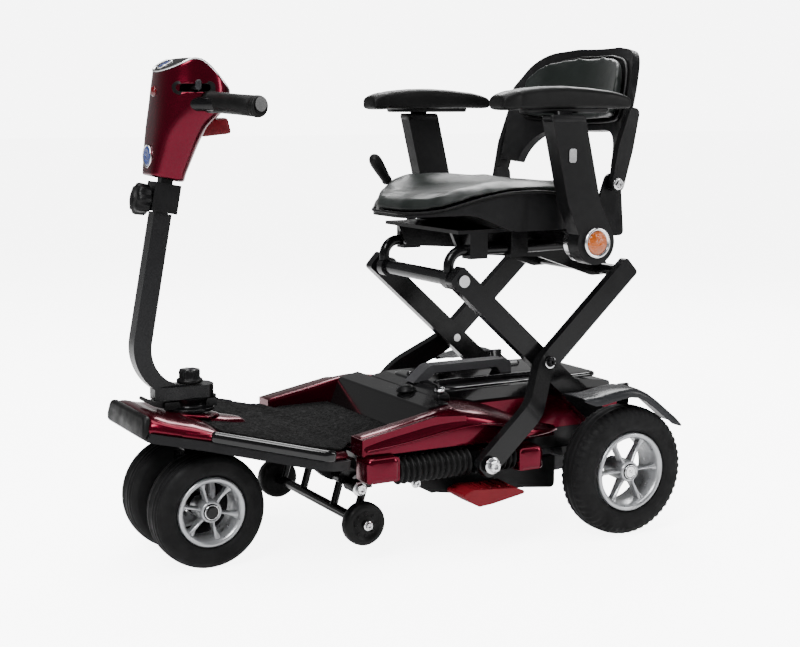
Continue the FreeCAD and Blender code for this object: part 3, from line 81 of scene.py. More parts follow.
class Shade:
    """A Principled material built up from named procedural layers."""

    def __init__(self, name, color, rough, metallic=0.0, coat=0.0, specular=0.5):
        self.material = bpy.data.materials.new(name)
        self.material.use_nodes = True
        self.tree = self.material.node_tree
        self.shader = self.tree.nodes["Principled BSDF"]
        self.shader.inputs["Metallic"].default_value = metallic
        self.shader.inputs["Coat Weight"].default_value = coat
        self.shader.inputs["Coat Roughness"].default_value = 0.04
        self.shader.inputs["Specular IOR Level"].default_value = specular
        self.space = self.node("ShaderNodeTexCoord").outputs["Object"]
        self.tint = self.normal = None
        self.color = color
        self.rough = rough

    def node(self, kind, **settings):
        item = self.tree.nodes.new(kind)
        for key, value in settings.items():
            setattr(item, key, value)
        return item

    def link(self, source, target):
        self.tree.links.new(source, target)

    def noise(self, scale, detail=4.0):
        item = self.node("ShaderNodeTexNoise")
        item.inputs["Scale"].default_value = scale
        item.inputs["Detail"].default_value = detail
        self.link(self.space, item.inputs["Vector"])
        return item.outputs["Fac"]

    def cells(self, scale, feature="F1"):
        item = self.node("ShaderNodeTexVoronoi", feature=feature)
        item.inputs["Scale"].default_value = scale
        self.link(self.space, item.inputs["Vector"])
        return item.outputs["Distance"]

    def ranged(self, source, first, last, low, high):
        """The source's range from first to last becomes low to high."""
        item = self.node("ShaderNodeMapRange")
        for key, value in zip(("From Min", "From Max", "To Min", "To Max"), (first, last, low, high)):
            item.inputs[key].default_value = value
        self.link(source, item.inputs["Value"])
        return item.outputs["Result"]

    def over(self, share, color):
        """Another colour laid over the tint where the share is high."""
        item = self.node("ShaderNodeMix", data_type="RGBA")
        self.link(share, item.inputs["Factor"])
        self.link(self.tint, item.inputs["A"])
        item.inputs["B"].default_value = (*color, 1)
        self.tint = item.outputs["Result"]
        return self

    def mottle(self, scale, amount):
        """Slow variation of the colour, and of the roughness with it."""
        value = self.noise(scale, 6.0)
        item = self.node("ShaderNodeMix", data_type="RGBA")
        self.link(self.ranged(value, *NOISE_RANGE, 0.0, 1.0), item.inputs["Factor"])
        dark = [c * (1 - amount) for c in self.color]
        light = [min(1.0, c * (1 + amount)) for c in self.color]
        item.inputs["A"].default_value = (*dark, 1)
        item.inputs["B"].default_value = (*light, 1)
        self.tint = item.outputs["Result"]
        rough = self.noise(scale * 2.3, 5.0)
        rough = self.ranged(rough, *NOISE_RANGE, self.rough * 0.8, min(1.0, self.rough * 1.25))
        self.link(rough, self.shader.inputs["Roughness"])
        return self

    def wear(self, color, amount):
        """Lighter, rubbed convex edges."""
        edge = self.node("ShaderNodeNewGeometry").outputs["Pointiness"]
        return self.over(self.ranged(edge, *CONVEX_RANGE, 0.0, amount), color)

    def speckle(self, scale, color, low, amount):
        """Small flecks of another colour."""
        return self.over(self.ranged(self.cells(scale), low, low + FLECK_EDGE, amount, 0.0), color)

    def bump(self, height, strength, distance_mm):
        item = self.node("ShaderNodeBump")
        item.inputs["Strength"].default_value = strength
        item.inputs["Distance"].default_value = distance_mm * MM
        self.link(height, item.inputs["Height"])
        if self.normal is not None:
            self.link(self.normal, item.inputs["Normal"])
        self.normal = item.outputs["Normal"]
        return self

    def done(self, **extras):
        self.link(self.tint, self.shader.inputs["Base Color"])
        if self.normal is not None:
            self.link(self.normal, self.shader.inputs["Normal"])
        for key, value in extras.items():
            self.shader.inputs[key.replace("_", " ")].default_value = value
        return self.material


def painted_red():
    shade = Shade("candy_red_paint", (0.068, 0.0, 0.007), 0.19, metallic=0.85, coat=0.14, specular=0.2)
    shade.mottle(9.0, 0.12)
    shade.speckle(2600.0, (0.12, 0.0, 0.01), 0.16, 0.5)
    shade.bump(shade.noise(5.0, 1.0), 0.02, 0.3)
    return shade.done()


def gloss_black():
    shade = Shade("gloss_black_plastic", (0.0016, 0.0016, 0.0018), 0.12, coat=0.2, specular=0.2)
    shade.mottle(14.0, 0.3).wear((0.008, 0.008, 0.008), 0.3)
    return shade.bump(shade.noise(900.0), 0.03, 0.1).done()


def gloss_blue():
    shade = Shade("medallion_enamel", (0.004, 0.02, 0.12), 0.18, coat=0.5)
    shade.mottle(60.0, 0.25)
    return shade.bump(shade.noise(400.0), 0.04, 0.1).done()


def plastic(name, color, rough, grain=1500.0, depth=0.14):
    shade = Shade(name, color, rough, specular=0.11)
    shade.mottle(30.0, 0.18).wear([min(1.0, c * 1.7 + 0.002) for c in color], 0.45)
    shade.bump(shade.cells(grain), 0.35, depth)
    return shade.bump(shade.noise(180.0), 0.08, 0.3).done()


def powder_coat(name, color, rough, metallic=0.0):
    shade = Shade(name, color, rough, metallic=metallic, coat=0.08, specular=0.14)
    shade.mottle(24.0, 0.2).wear([c * 2.0 + 0.003 for c in color], 0.5)
    shade.bump(shade.noise(900.0, 2.0), 0.12, 0.12)
    return shade.done(Coat_Roughness=0.12)


def bright_metal(name, color, rough, metallic=1.0):
    shade = Shade(name, color, rough, metallic=metallic)
    shade.mottle(60.0, 0.1)
    return shade.bump(shade.noise(700.0, 3.0), 0.05, 0.08).done()


def rubber(name, color, rough):
    shade = Shade(name, color, rough, specular=0.10)
    shade.mottle(22.0, 0.3).wear((0.010, 0.010, 0.0097), 0.5)
    shade.bump(shade.noise(700.0), 0.2, 0.25)
    return shade.bump(shade.noise(60.0), 0.1, 0.4).done()


def vinyl():
    shade = Shade("seat_vinyl_hide", (0.0058, 0.0076, 0.0068), 0.38, specular=0.17)
    shade.mottle(11.0, 0.16).wear((0.013, 0.015, 0.014), 0.35)
    shade.bump(shade.cells(620.0, "SMOOTH_F1"), 0.35, 0.35)
    shade.bump(shade.noise(35.0), 0.12, 1.5)
    return shade.done(Sheen_Weight=0.05, Sheen_Roughness=0.4)


def looped_mat():
    shade = Shade("looped_floor_mat", (0.0018, 0.0018, 0.0018), 0.9, specular=0.08)
    shade.mottle(45.0, 0.5).speckle(170.0, (0.012, 0.012, 0.0117), 0.10, 0.5)
    shade.bump(shade.cells(170.0), 1.0, 2.4)
    return shade.bump(shade.noise(900.0), 0.5, 0.5).done()


def lens(name, color, glow):
    shade = Shade(name, color, 0.12, coat=0.2)
    shade.mottle(40.0, 0.25)
    shade.bump(shade.cells(380.0), 0.8, 0.8)
    return shade.done(Emission_Color=(*color, 1), Emission_Strength=glow)


def studio_floor():
    shade = Shade("studio_floor", (0.90, 0.90, 0.90), 0.6, specular=0.1)
    shade.mottle(1.5, 0.01)
    seen = shade.node("ShaderNodeLightPath").outputs["Is Camera Ray"]
    shade.link(shade.ranged(seen, 0.0, 1.0, 0.5, 6.4), shade.shader.inputs["Emission Strength"])
    return shade.done(Emission_Color=(1, 1, 1, 1))


LOOK = {
    "candy_red": painted_red(),
    "gloss_black": gloss_black(),
    "tray_grey": plastic("tray_texture", (0.0052, 0.0052, 0.0056), 0.45, 1100.0, 0.22),
    "black_plastic": plastic("black_moulded", (0.0026, 0.0026, 0.0028), 0.36),
    "fender_grey": plastic("fender_satin", (0.016, 0.0165, 0.018), 0.24, 2200.0, 0.04),
    "handle_grey": plastic("handle_moulded", (0.03, 0.03, 0.032), 0.4),
    "black_steel": powder_coat("black_powder_coat", (0.0019, 0.0019, 0.0021), 0.2),
    "graphite_steel": powder_coat("graphite_coat", (0.0034, 0.0034, 0.0038), 0.26, 0.2),
    "plated_steel": bright_metal("plated_steel", (0.62, 0.62, 0.63), 0.2),
    "rim_aluminium": bright_metal("silver_wheel_paint", (0.30, 0.305, 0.315), 0.32, 0.75),
    "tyre": rubber("tyre_rubber", (0.0042, 0.0042, 0.0044), 0.66),
    "black_rubber": rubber("soft_black_rubber", (0.0028, 0.0028, 0.0028), 0.45),
    "mat": looped_mat(),
    "battery_case": plastic("battery_case", (0.003, 0.003, 0.003), 0.5),
    "drive_unit": bright_metal("cast_housing", (0.012, 0.012, 0.013), 0.5, 0.6),
    "seat_vinyl": vinyl(),
    "amber_lens": lens("amber_prisms", (0.27, 0.052, 0.0), 0.0),
    "red_lens": lens("red_prisms", (0.06, 0.0, 0.001), 0.0),
    "medallion_blue": gloss_blue(),
    "pedal_red": plastic("pedal_plastic", (0.085, 0.003, 0.006), 0.34),
}

record_slots = {row["node"]: row["material_slot"] for row in frame["record"]["subparts"]}
for name, node in nodes.items():
    node.data.materials.clear()
    node.data.materials.append(LOOK[record_slots[name]])

# ---------------------------------------------------------------- piece kit


def placed(name, data):
    """A new object in the scene."""
    obj = bpy.data.objects.new(name, data)
    bpy.context.scene.collection.objects.link(obj)
    return obj


def modify(obj, name, kind, **settings):
    item = obj.modifiers.new(name, kind)
    for key, value in settings.items():
        setattr(item, key, value)
    return item


def edited(mesh, change):
    """Runs change(bm) on the mesh."""
    bm = bmesh.new()
    bm.from_mesh(mesh)
    change(bm)
    bm.to_mesh(mesh)
    bm.free()


def evaluated(obj):
    """A new mesh of the object with its modifiers applied."""
    bpy.context.view_layer.update()
    graph = bpy.context.evaluated_depsgraph_get()
    return bpy.data.meshes.new_from_object(obj.evaluated_get(graph))


def piece(name, verts, faces, body, slot, smooth=True, replaces=()):
    mesh = bpy.data.meshes.new(name)
    mesh.from_pydata([tuple(v) for v in verts], [], faces)
    mesh.validate()
    return adopt(name, mesh, body, slot, smooth, replaces)


def adopt(name, mesh, body, slot, smooth=True, replaces=()):
    """A finished mesh becomes a piece: normals outwards, a look, a body and a slot."""
    def mend(bm):
        bmesh.ops.remove_doubles(bm, verts=bm.verts, dist=1e-6)
        bmesh.ops.recalc_face_normals(bm, faces=bm.faces)
        for face in bm.faces:
            face.smooth = smooth

    edited(mesh, mend)
    obj = placed(name, mesh)
    mesh.materials.clear()
    mesh.materials.append(LOOK[slot])
    if body:
        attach(obj, body)
    if replaces:
        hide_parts(*replaces)
    return obj


def round_edges(obj, width_mm, angle=34, segments=3):
    modify(obj, "soft_edges", "BEVEL", width=width_mm * MM, segments=segments, limit_method="ANGLE",
           angle_limit=math.radians(angle), harden_normals=True)
    return obj


BEVEL_MM = {"stem_collar": 5.0, "tiller_stem": 5.0, "rear_body_cover": 2.5, "front_tray": 2.0,
            "top_cover": 1.6, "lift_arms": 2.2, "cross_arms": 2.2, "seat_pan": 2.0, "back_shell": 2.5,
            "rear_frame": 1.5}
for name, node in nodes.items():
    round_edges(node, BEVEL_MM.get(name, 0.8))


def subdivide(obj, levels):
    modify(obj, "smoothing", "SUBSURF", levels=levels, render_levels=levels)
    return obj


def rings_to_faces(count, size, closed=True):
    """Quads between rings of the same size."""
    faces = []
    last = size if closed else size - 1
    for ring in range(count - 1):
        for step in range(last):
            a = ring * size + step
            b = ring * size + (step + 1) % size
            faces.append((a, b, b + size, a + size))
    return faces


def loft(name, rings, body, slot, replaces=(), smooth=True):
    """A skin over rings of the same size, closed at both ends."""
    size = len(rings[0])
    verts = [v for ring in rings for v in ring]
    faces = rings_to_faces(len(rings), size)
    faces += [tuple(range(size)), tuple(range(len(verts) - size, len(verts)))]
    return piece(name, verts, faces, body, slot, smooth, replaces)


def rounded(points, step=6):
    """Points of a closed outline with rounded corners, from (u, v) or (u, v, radius)."""
    out = []
    count = len(points)
    for index, point in enumerate(points):
        here = Vector(point[:2])
        if len(point) == 2:
            out.append(here)
            continue
        back = (Vector(points[index - 1][:2]) - here)
        ahead = (Vector(points[(index + 1) % count][:2]) - here)
        limit = 0.49 * min(back.length, ahead.length)
        back.normalize()
        ahead.normalize()
        half = math.acos(max(-1, min(1, back.dot(ahead)))) / 2
        reach = min(point[2] / math.tan(half), limit)
        radius = reach * math.tan(half)
        centre = here + (back + ahead).normalized() * (radius / math.sin(half))
        start = here + back * reach - centre
        end = here + ahead * reach - centre
        for part in range(step + 1):
            out.append(centre + start.slerp(end, part / step).normalized() * radius)
    return out


def rectangle(u0, v0, u1, v1, radius, step=6):
    return rounded([(u0, v0, radius), (u1, v0, radius), (u1, v1, radius), (u0, v1, radius)], step)


def divided(line, pitch):
    """Points along a line of vectors at about the pitch, without its last one."""
    out = []
    for here, ahead in zip(line, line[1:]):
        parts = max(1, int((ahead - here).length / pitch))
        out += [here.lerp(ahead, k / parts) for k in range(parts)]
    return out


def level(side):
    """Places an outline drawn from above, mirrored for the right side."""
    return lambda u, v, h: at(u, side * v, h)


def upright(side):
    """Places an outline drawn from the side, growing outwards."""
    return lambda u, v, h: at(u, side * h, v)


def from_behind(side):
    """Places an outline drawn from behind, growing forwards."""
    return lambda u, v, h: at(h, side * u, v)


def once(node, side):
    """The node that a pair of pieces stands for, named by the left one alone."""
    return (node,) if side > 0 else ()


def mirrored(points):
    """Both halves of an outline from its half at positive v."""
    return list(points) + [(p[0], -p[1]) + tuple(p[2:]) for p in reversed(points)]


def inset(outline, distance):
    """The outline moved inwards; it stays well formed for small distances."""
    area = sum(a.x * b.y - b.x * a.y for a, b in zip(outline, outline[1:] + outline[:1]))
    turn = 1 if area > 0 else -1
    moved = []
    count = len(outline)
    for index, here in enumerate(outline):
        first = (here - outline[index - 1])
        second = (outline[(index + 1) % count] - here)
        if first.length < 1e-9 or second.length < 1e-9:
            first = second = (outline[(index + 1) % count] - outline[index - 1])
        normals = [Vector((-d.y, d.x)).normalized() * turn for d in (first, second)]
        total = normals[0] + normals[1]
        moved.append(here + total * (distance / max(0.6, 1 + normals[0].dot(normals[1]))))
    return moved


def shrunk(outline, distance):
    """The outline drawn in towards its middle; it stays well formed for large distances."""
    low = Vector((min(p[0] for p in outline), min(p[1] for p in outline)))
    high = Vector((max(p[0] for p in outline), max(p[1] for p in outline)))
    middle, half = (low + high) / 2, (high - low) / 2
    return [Vector((middle.x + (p[0] - middle.x) * (1 - distance / half.x),
                    middle.y + (p[1] - middle.y) * (1 - distance / half.y))) for p in outline]


INSET_LIMIT = 3.3


def slab(name, outline, layers, place, body, slot, replaces=(), smooth=True):
    """An outline stacked in layers of (height, inset); place(u, v, height) gives the point."""
    rings = []
    for height, narrow in layers:
        ring = shrunk(outline, narrow) if narrow > INSET_LIMIT else inset(outline, narrow)
        rings.append([place(p[0], p[1], height) for p in ring])
    return loft(name, rings, body, slot, replaces=replaces, smooth=smooth)


def pillow_layers(low, high, soft):
    """Layers with a quarter round at both faces."""
    turns = [math.pi / 8 * step for step in range(5)]
    lower = [(low + soft * (1 - math.sin(t)), soft * (1 - math.cos(t))) for t in reversed(turns)]
    upper = [(high - soft * (1 - math.sin(t)), soft * (1 - math.cos(t))) for t in turns]
    return lower + upper


def lathe(name, profile, centre, axis, body, slot, steps=72, replaces=(), wobble=None):
    """A profile of (along, radius) in mm turned round an axis through centre."""
    axis = Vector(axis).normalized()
    side = axis.orthogonal().normalized()
    other = axis.cross(side)
    rings = []
    for step in range(steps):
        angle = 2 * math.pi * step / steps
        spoke = side * math.cos(angle) + other * math.sin(angle)
        ring = []
        for index, (along, radius) in enumerate(profile):
            extra = wobble(step, index) if wobble else 0.0
            ring.append(centre + axis * along * MM + spoke * (radius + extra) * MM)
        rings.append(ring)
    rings.append(rings[0])
    verts = [v for ring in rings for v in ring]
    return piece(name, verts, rings_to_faces(len(rings), len(profile)), body, slot, True, replaces)


def tube(name, points, radius_mm, body, slot, closed=False):
    """A round bar along points, which a NURBS line smooths."""
    data = bpy.data.curves.new(name, "CURVE")
    data.dimensions = "3D"
    data.bevel_depth = radius_mm * MM
    data.bevel_resolution = 4
    data.use_fill_caps = True
    spline = data.splines.new("NURBS")
    spline.points.add(len(points) - 1)
    for item, point in zip(spline.points, points):
        item.co = (*point, 1)
    spline.use_cyclic_u = closed
    spline.order_u = 3
    spline.use_endpoint_u = not closed
    spline.resolution_u = 8
    holder = placed(name + "_line", data)
    bpy.context.view_layer.update()
    mesh = bpy.data.meshes.new_from_object(holder)
    bpy.data.objects.remove(holder)
    bpy.data.curves.remove(data)
    mesh.name = name
    return adopt(name, mesh, body, slot)


def hexagon_bolt(name, centre, axis, size_mm, body, slot="plated_steel"):
    """A hexagon head with a chamfer, a washer and a recessed middle."""
    axis = Vector(axis).normalized()
    side = axis.orthogonal().normalized()
    other = axis.cross(side)
    across = size_mm / 2
    outline = rounded([(across * math.cos(a) * 1.1, across * math.sin(a) * 1.1, 0.8)
                       for a in (math.pi / 3 * k for k in range(6))], 3)

    def place(u, v, height):
        return centre + (side * u + other * v + axis * height) * MM

    layers = [(0, 0), (across * 0.8, 0), (across * 0.95, across * 0.12),
              (across * 0.95, across * 0.5), (across * 0.45, across * 0.56)]
    head = slab(name, outline, layers, place, body, slot, smooth=False)
    round_edges(head, 0.3)
    washer = [(-1.2, across * 0.4), (-1.2, across * 1.35), (-0.6, across * 1.45), (0.2, across * 1.4),
              (0.2, across * 0.4)]
    lathe(name + "_washer", washer, centre, axis, body, slot, 40)


def copy_of(node, name):
    mesh = nodes[node].data.copy()
    mesh.name = name
    return mesh


def both_sides(build):
    for name, side in SIDES:
        build(name, side)


def carve(obj, rings):
    """Cuts the closed shape between two rings of points out of obj."""
    size = len(rings[0])
    faces = rings_to_faces(2, size) + [tuple(range(size)), tuple(range(2 * size - 1, size - 1, -1))]
    mesh = bpy.data.meshes.new("carver")
    mesh.from_pydata([tuple(v) for ring in rings for v in ring], [], faces)
    edited(mesh, lambda bm: bmesh.ops.recalc_face_normals(bm, faces=bm.faces))
    cutter = placed("carver", mesh)
    item = modify(obj, "carve", "BOOLEAN", operation="DIFFERENCE", solver="EXACT", object=cutter)
    old, obj.data = obj.data, evaluated(obj)
    obj.modifiers.remove(item)
    bpy.data.meshes.remove(old)
    bpy.data.objects.remove(cutter)
    bpy.data.meshes.remove(mesh)


def between(table, value):
    """The value's place in a table of (from, to) pairs, in straight lines."""
    for (x0, y0), (x1, y1) in zip(table, table[1:]):
        if value <= x1:
            share = max(0.0, (value - x0) / (x1 - x0))
            return y0 + (y1 - y0) * share
    return table[-1][1]


# ---------------------------------------------------------------- wheels


def tyre_profile(half_width, inner, outer, grooves):
    """Round section from bead to bead with circumferential grooves in the tread."""
    middle = (inner + outer) / 2
    reach = (outer - inner) / 2
    points = []
    count = 84
    for step in range(count + 1):
        angle = math.radians(-158 + 316 * step / count)
        along = half_width * math.copysign(abs(math.sin(angle)) ** 0.72, math.sin(angle))
        radius = middle + reach * math.copysign(abs(math.cos(angle)) ** 0.62, math.cos(angle))
        for place, width, depth in grooves:
            gap = abs(abs(along) - place)
            if gap < width and math.cos(angle) > 0:
                radius -= depth * (1 - (gap / width) ** 4)
        if 0.35 > math.cos(angle) > -0.75:
            along += math.copysign(0.5 * math.cos(radius * 0.9), along)
        points.append((along, radius))
    points.append((half_width - 7, inner + 2))
    points.append((7 - half_width, inner + 2))
    return points


def wheel_look(end, side_name, side, centre, width, outer, inner, body):
    half = width / 2
    front = end == "front"
    grooves = ((5, 1.3, 2.0), (13, 1.3, 2.0), (20, 1.2, 1.6)) if front else ((6.5, 1.4, 2.2),)
    profile = tyre_profile(half, inner, outer, grooves)

    def blocks(step, index):
        along, radius = profile[index]
        if front or radius < outer - 22 or abs(along) < 13:
            return 0.0
        return -1.9 if (step // 2 + (1 if along > 0 else 0)) % 2 else 0.0

    steps = 120 if front else 216
    lathe(f"{end}_tyre_tread_{side_name}", profile, centre, (0, 1, 0), body, "tyre", steps,
          (f"{end}_tyre_{side_name}",), blocks)
    lip = half - 3
    barrel = [(lip, inner + 2.5), (lip + 1.5, inner - 0.5), (lip, inner - 4), (lip - 4, inner - 6.5),
              (lip - 12, inner - 8), (lip - 22, inner - 9.5), (6 - half, inner - 7),
              (4 - half, inner - 2), (4 - half, inner + 1)]
    hub = [(4 - half, 11), (4 - half, 17), (lip - 24, 19), (lip - 7, 17.5), (lip - 3, 16.5),
           (lip - 2, 14.5), (lip - 4, 13.5), (lip - 4, 1), (4 - half, 1)]
    cap = [(lip - 4.5, 0.3), (lip - 1.2, 0.3), (lip - 1.0, 5), (lip - 1.6, 9), (lip - 2.4, 12.6),
           (lip - 4.5, 13.2)]
    trim = [(lip - 2.6, 10.2), (lip - 0.9, 10.4), (lip - 0.7, 11.6), (lip - 2.4, 12.0)]
    boss = [(lip - 1.4, 0.2), (lip - 0.5, 0.2), (lip - 0.3, 2.6), (lip - 1.2, 4.2), (lip - 1.6, 4.4)]
    for part, line, slot, steps in (("rim_barrel", barrel, "rim_aluminium", 72),
                                    ("rim_hub", hub, "rim_aluminium", 48),
                                    ("hub_cap", cap, "gloss_black", 48),
                                    ("hub_ring", trim, "plated_steel", 48),
                                    ("hub_boss", boss, "plated_steel", 30)):
        stands_for = (f"{end}_rim_{side_name}",) if part == "rim_barrel" else ()
        lathe(f"{end}_{part}_{side_name}", line, centre, (0, side, 0), body, slot, steps, stands_for)
    verts, faces = [], []
    for number in range(6):
        turn = 2 * math.pi * number / 6 + (0.26 if front else 0.0)
        radial = Vector((math.cos(turn), 0, math.sin(turn)))
        tangent = Vector((-math.sin(turn), 0, math.cos(turn)))
        rings = ((14, 3.0, lip - 6, lip - 26), (inner * 0.45, 2.4, lip - 9, lip - 25),
                 (inner - 16, 2.8, lip - 9, lip - 23), (inner - 6, 6.5, lip - 5, lip - 21))
        start = len(verts)
        for radius, half_wide, high, low in rings:
            for u, v in ((-1, low), (-1, high - 2.5), (-0.35, high), (0.35, high), (1, high - 2.5),
                         (1, low)):
                point = radial * radius + tangent * (u * half_wide)
                verts.append(centre + (point + Vector((0, side * v, 0))) * MM)
        faces += [tuple(start + i for i in face) for face in rings_to_faces(4, 6)]
        faces += [tuple(start + i for i in range(6)), tuple(start + 18 + i for i in range(6))]
    spokes = piece(f"{end}_rim_spokes_{side_name}", verts, faces, body, "rim_aluminium")
    round_edges(spokes, 0.9, 30, 2)


def middle_of(node):
    low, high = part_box(node)
    return (Vector(low) + Vector(high)) / 2


for end in ("front", "rear"):
    for side_name, side in SIDES:
        low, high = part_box(f"{end}_tyre_{side_name}")
        rim_low, rim_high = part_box(f"{end}_rim_{side_name}")
        wheel_look(end, side_name, side, middle_of(f"{end}_tyre_{side_name}"),
                   (high[1] - low[1]) / MM, (high[2] - low[2]) / MM / 2,
                   (rim_high[2] - rim_low[2]) / MM / 2, f"{end}_wheel_{side_name}")

for side_name, side in SIDES:
    centre = middle_of(f"mid_wheel_{side_name}")
    body = f"mid_wheel_{side_name}"
    section = [(-12, 11), (-12, 24), (-12.6, 27), (-12, 31), (-8, 34.4), (-3, 35), (3, 35),
               (8, 34.4), (12, 31), (12.6, 27), (12, 24), (9.5, 22), (9.5, 13), (11, 11), (11, 5.3),
               (-12, 5.3)]
    lathe(f"mid_wheel_tyre_{side_name}", section, centre, (0, side, 0), body, "black_rubber", 56,
          (f"mid_wheel_{side_name}",))
    for number in range(8):
        turn = 2 * math.pi * number / 8
        spot = centre + Vector((17.5 * math.cos(turn), side * 9.6, 17.5 * math.sin(turn))) * MM
        lathe(f"mid_wheel_hole_{side_name}_{number}", [(0, 0.2), (0.9, 0.4), (1.2, 2.0), (0, 2.6)],
              spot, (0, side, 0), body, "black_plastic", 12)
    hexagon_bolt(f"mid_wheel_bolt_{side_name}", centre + Vector((0, side * 18.2, 0)) * MM,
                 (0, side, 0), 11, "chassis")


# ---------------------------------------------------------------- front deck

DECK_TILT = math.radians(10)
DECK_ORIGIN = (474, 160.8)
STEM_ALONG = 683
WELL_RADIUS = 41.5


def on_deck(u, v, height):
    """A point of the tilted front deck, in mm along it, across it and above its underside."""
    along = DECK_ORIGIN[0] + u * math.cos(DECK_TILT) - height * math.sin(DECK_TILT)
    up = DECK_ORIGIN[1] + u * math.sin(DECK_TILT) + height * math.cos(DECK_TILT)
    return at(along, v, up)


cover_plan = rounded(mirrored([(34, 203, 12), (84, 231, 40), (232, 126, 60), (314, 90, 22)]), 8)
slab("deck_shell", cover_plan,
     [(14, 1.0), (16, 0), (20, 0), (23, 0.8), (25, 2.6), (26, 6)], on_deck, "front_deck",
     "candy_red", ("front_cover",))
BONNET_HALF = ((198, 133), (232, 125), (300, 97), (314, 90), (317, 87))
BONNET_CROWN = ((198, 26.2), (206, 28.5), (222, 34.5), (250, 38), (283, 38.5), (303, 41.4), (309, 41.2),
                (314, 39.4), (316.4, 36), (317, 30))


def bonnet_ring(u):
    half, crown = between(BONNET_HALF, u), between(BONNET_CROWN, u)
    ring = []
    for step in range(49):
        turn = math.pi * step / 48
        v = half * math.copysign(abs(math.cos(turn)) ** 0.55, math.cos(turn))
        ring.append(on_deck(u, v, 14.5 + (crown - 14.5) * math.sin(turn) ** 0.55))
    return ring


BONNET_STATIONS = [198, 200, 204] + list(range(208, 308, 5)) + [309, 312, 314, 315.5, 316.5, 317]
bonnet = loft("deck_bonnet", [bonnet_ring(u) for u in BONNET_STATIONS], "front_deck", "candy_red")
well = [Vector((STEM_ALONG + WELL_RADIUS * math.cos(math.pi * k / 24),
                WELL_RADIUS * math.sin(math.pi * k / 24))) for k in range(48)]
carve(bonnet, [[at(p.x, p.y, up) for p in well] for up in (239.2, 275)])
hump_plan = rounded([(122, -12, 12), (170, -34, 40), (214, -34, 12), (214, 34, 12), (170, 34, 40),
                     (122, 12, 12)], 8)
slab("deck_hump", hump_plan,
     [(25.5, 0), (28, 0.8), (31.5, 3), (34.5, 7), (36.5, 12), (37.5, 19)], on_deck, "front_deck",
     "candy_red")


def scallop(step, index):
    return 3.2 * math.cos(step * 2 * math.pi / 12) if index in (2, 3, 4) else 0.0


flange = [(0, 25.5), (0, 36), (0, 43), (2.5, 44), (4.0, 41), (5.5, 36), (6.5, 29), (6.5, 25.5)]
lathe("steering_flange", flange, at(STEM_ALONG, 0, 233.5), (-0.12, 0, 1), "front_deck", "candy_red",
      72, (), scallop)

pad_plan = rounded([(-92, 2, 12), (92, 2, 12), (82, 37.5, 13), (-82, 37.5, 13)], 6)
slab("nose_bumper", pad_plan, [(-1, 0), (3.5, 0), (6.2, 0.8), (8, 2.4), (8.9, 5.5)],
     lambda u, v, h: on_deck(316.4 + h, u, v), "front_deck", "black_rubber", ("bumper_pad",))

strip_plan = rounded([(72, 229, 4), (74, 240, 7), (90, 241.5, 14), (236, 137.5, 8), (231, 127, 4),
                      (86, 230, 20)], 6)


for side_name, side in SIDES:
    slab(f"deck_strip_{side_name}", strip_plan,
         [(15, 3.2), (16.2, 1.2), (18.5, 0), (28, 0), (30.6, 1.2), (31.8, 3.2)],
         lambda u, v, h: on_deck(u, v * side, h), "front_deck", "gloss_black",
         once("side_strips", side))

# ---------------------------------------------------------------- floor mat

MAT_REAR = 362
MAT_FRONT = 678
MAT_STEP = 2.4
LOOP_PITCH = 6.0
WIDTHS = ((MAT_REAR, 156), (470, 156), (486, 166), (506, 190), (520, 204), (552, 216), (600, 186),
          (MAT_FRONT, 126))


MAT_THICK = 3.2


def mat_base(along):
    """Height of the floor under the mat, from the well to the raised front deck."""
    well = 189.3
    deck = DECK_ORIGIN[1] + (along - DECK_ORIGIN[0] + 4.6) * math.tan(DECK_TILT) + 26.8
    share = max(0.0, min(1.0, (along - 466) / 44))
    share = share * share * (3 - 2 * share)
    slack = 5.5 * math.exp(-((along - 489) / 12.0) ** 2) + 2.0 * math.exp(-((along - 545) / 9.0) ** 2)
    return well + (deck - well) * share + slack


def on_mat(along, across):
    """A point on the mat's upper face."""
    return at(along, across, mat_base(along) + MAT_THICK)


def cut_out(along):
    """Half width of the opening round the hump."""
    start = 592
    if along < start:
        return 0.0
    share = min(1.0, (along - start) / 34)
    return 38 * math.sqrt(max(0.0, 1 - (1 - share) ** 2))


def loop_height(along, across):
    row = round(along / LOOP_PITCH)
    shift = LOOP_PITCH / 2 if row % 2 else 0.0
    wave = abs(math.cos(math.pi * along / LOOP_PITCH))
    wave *= abs(math.cos(math.pi * (across + shift) / LOOP_PITCH))
    rough = noise.noise(Vector((along * 0.23, across * 0.23, 3.0)))
    return 2.1 * wave + 1.0 * rough


verts, faces = [], []
rows = int((MAT_FRONT - MAT_REAR) / MAT_STEP)
columns = 96
for side in (1, -1):
    start = len(verts)
    for row in range(rows + 1):
        along = MAT_REAR + (MAT_FRONT - MAT_REAR) * row / rows
        inner, outer = cut_out(along), between(WIDTHS, along)
        for column in range(columns + 1):
            across = inner + (outer - inner) * column / columns
            edge = min(1.0, (outer - across) / 4.0)
            height = mat_base(along) + MAT_THICK + loop_height(along, side * across) * edge
            verts.append(at(along, side * across, height))
    faces += [tuple(start + i for i in face)
              for face in rings_to_faces(rows + 1, columns + 1, closed=False)]
mat = piece("floor_mat", verts, faces, None, "mat", True, ("floor_mat_rear", "floor_mat_front"))
modify(mat, "backing", "SOLIDIFY", thickness=3.0 * MM, offset=-1)
if len([f for f in mat.data.polygons if f.normal.z < 0]) > len(mat.data.polygons) / 2:
    mat.data.flip_normals()
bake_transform(mat)

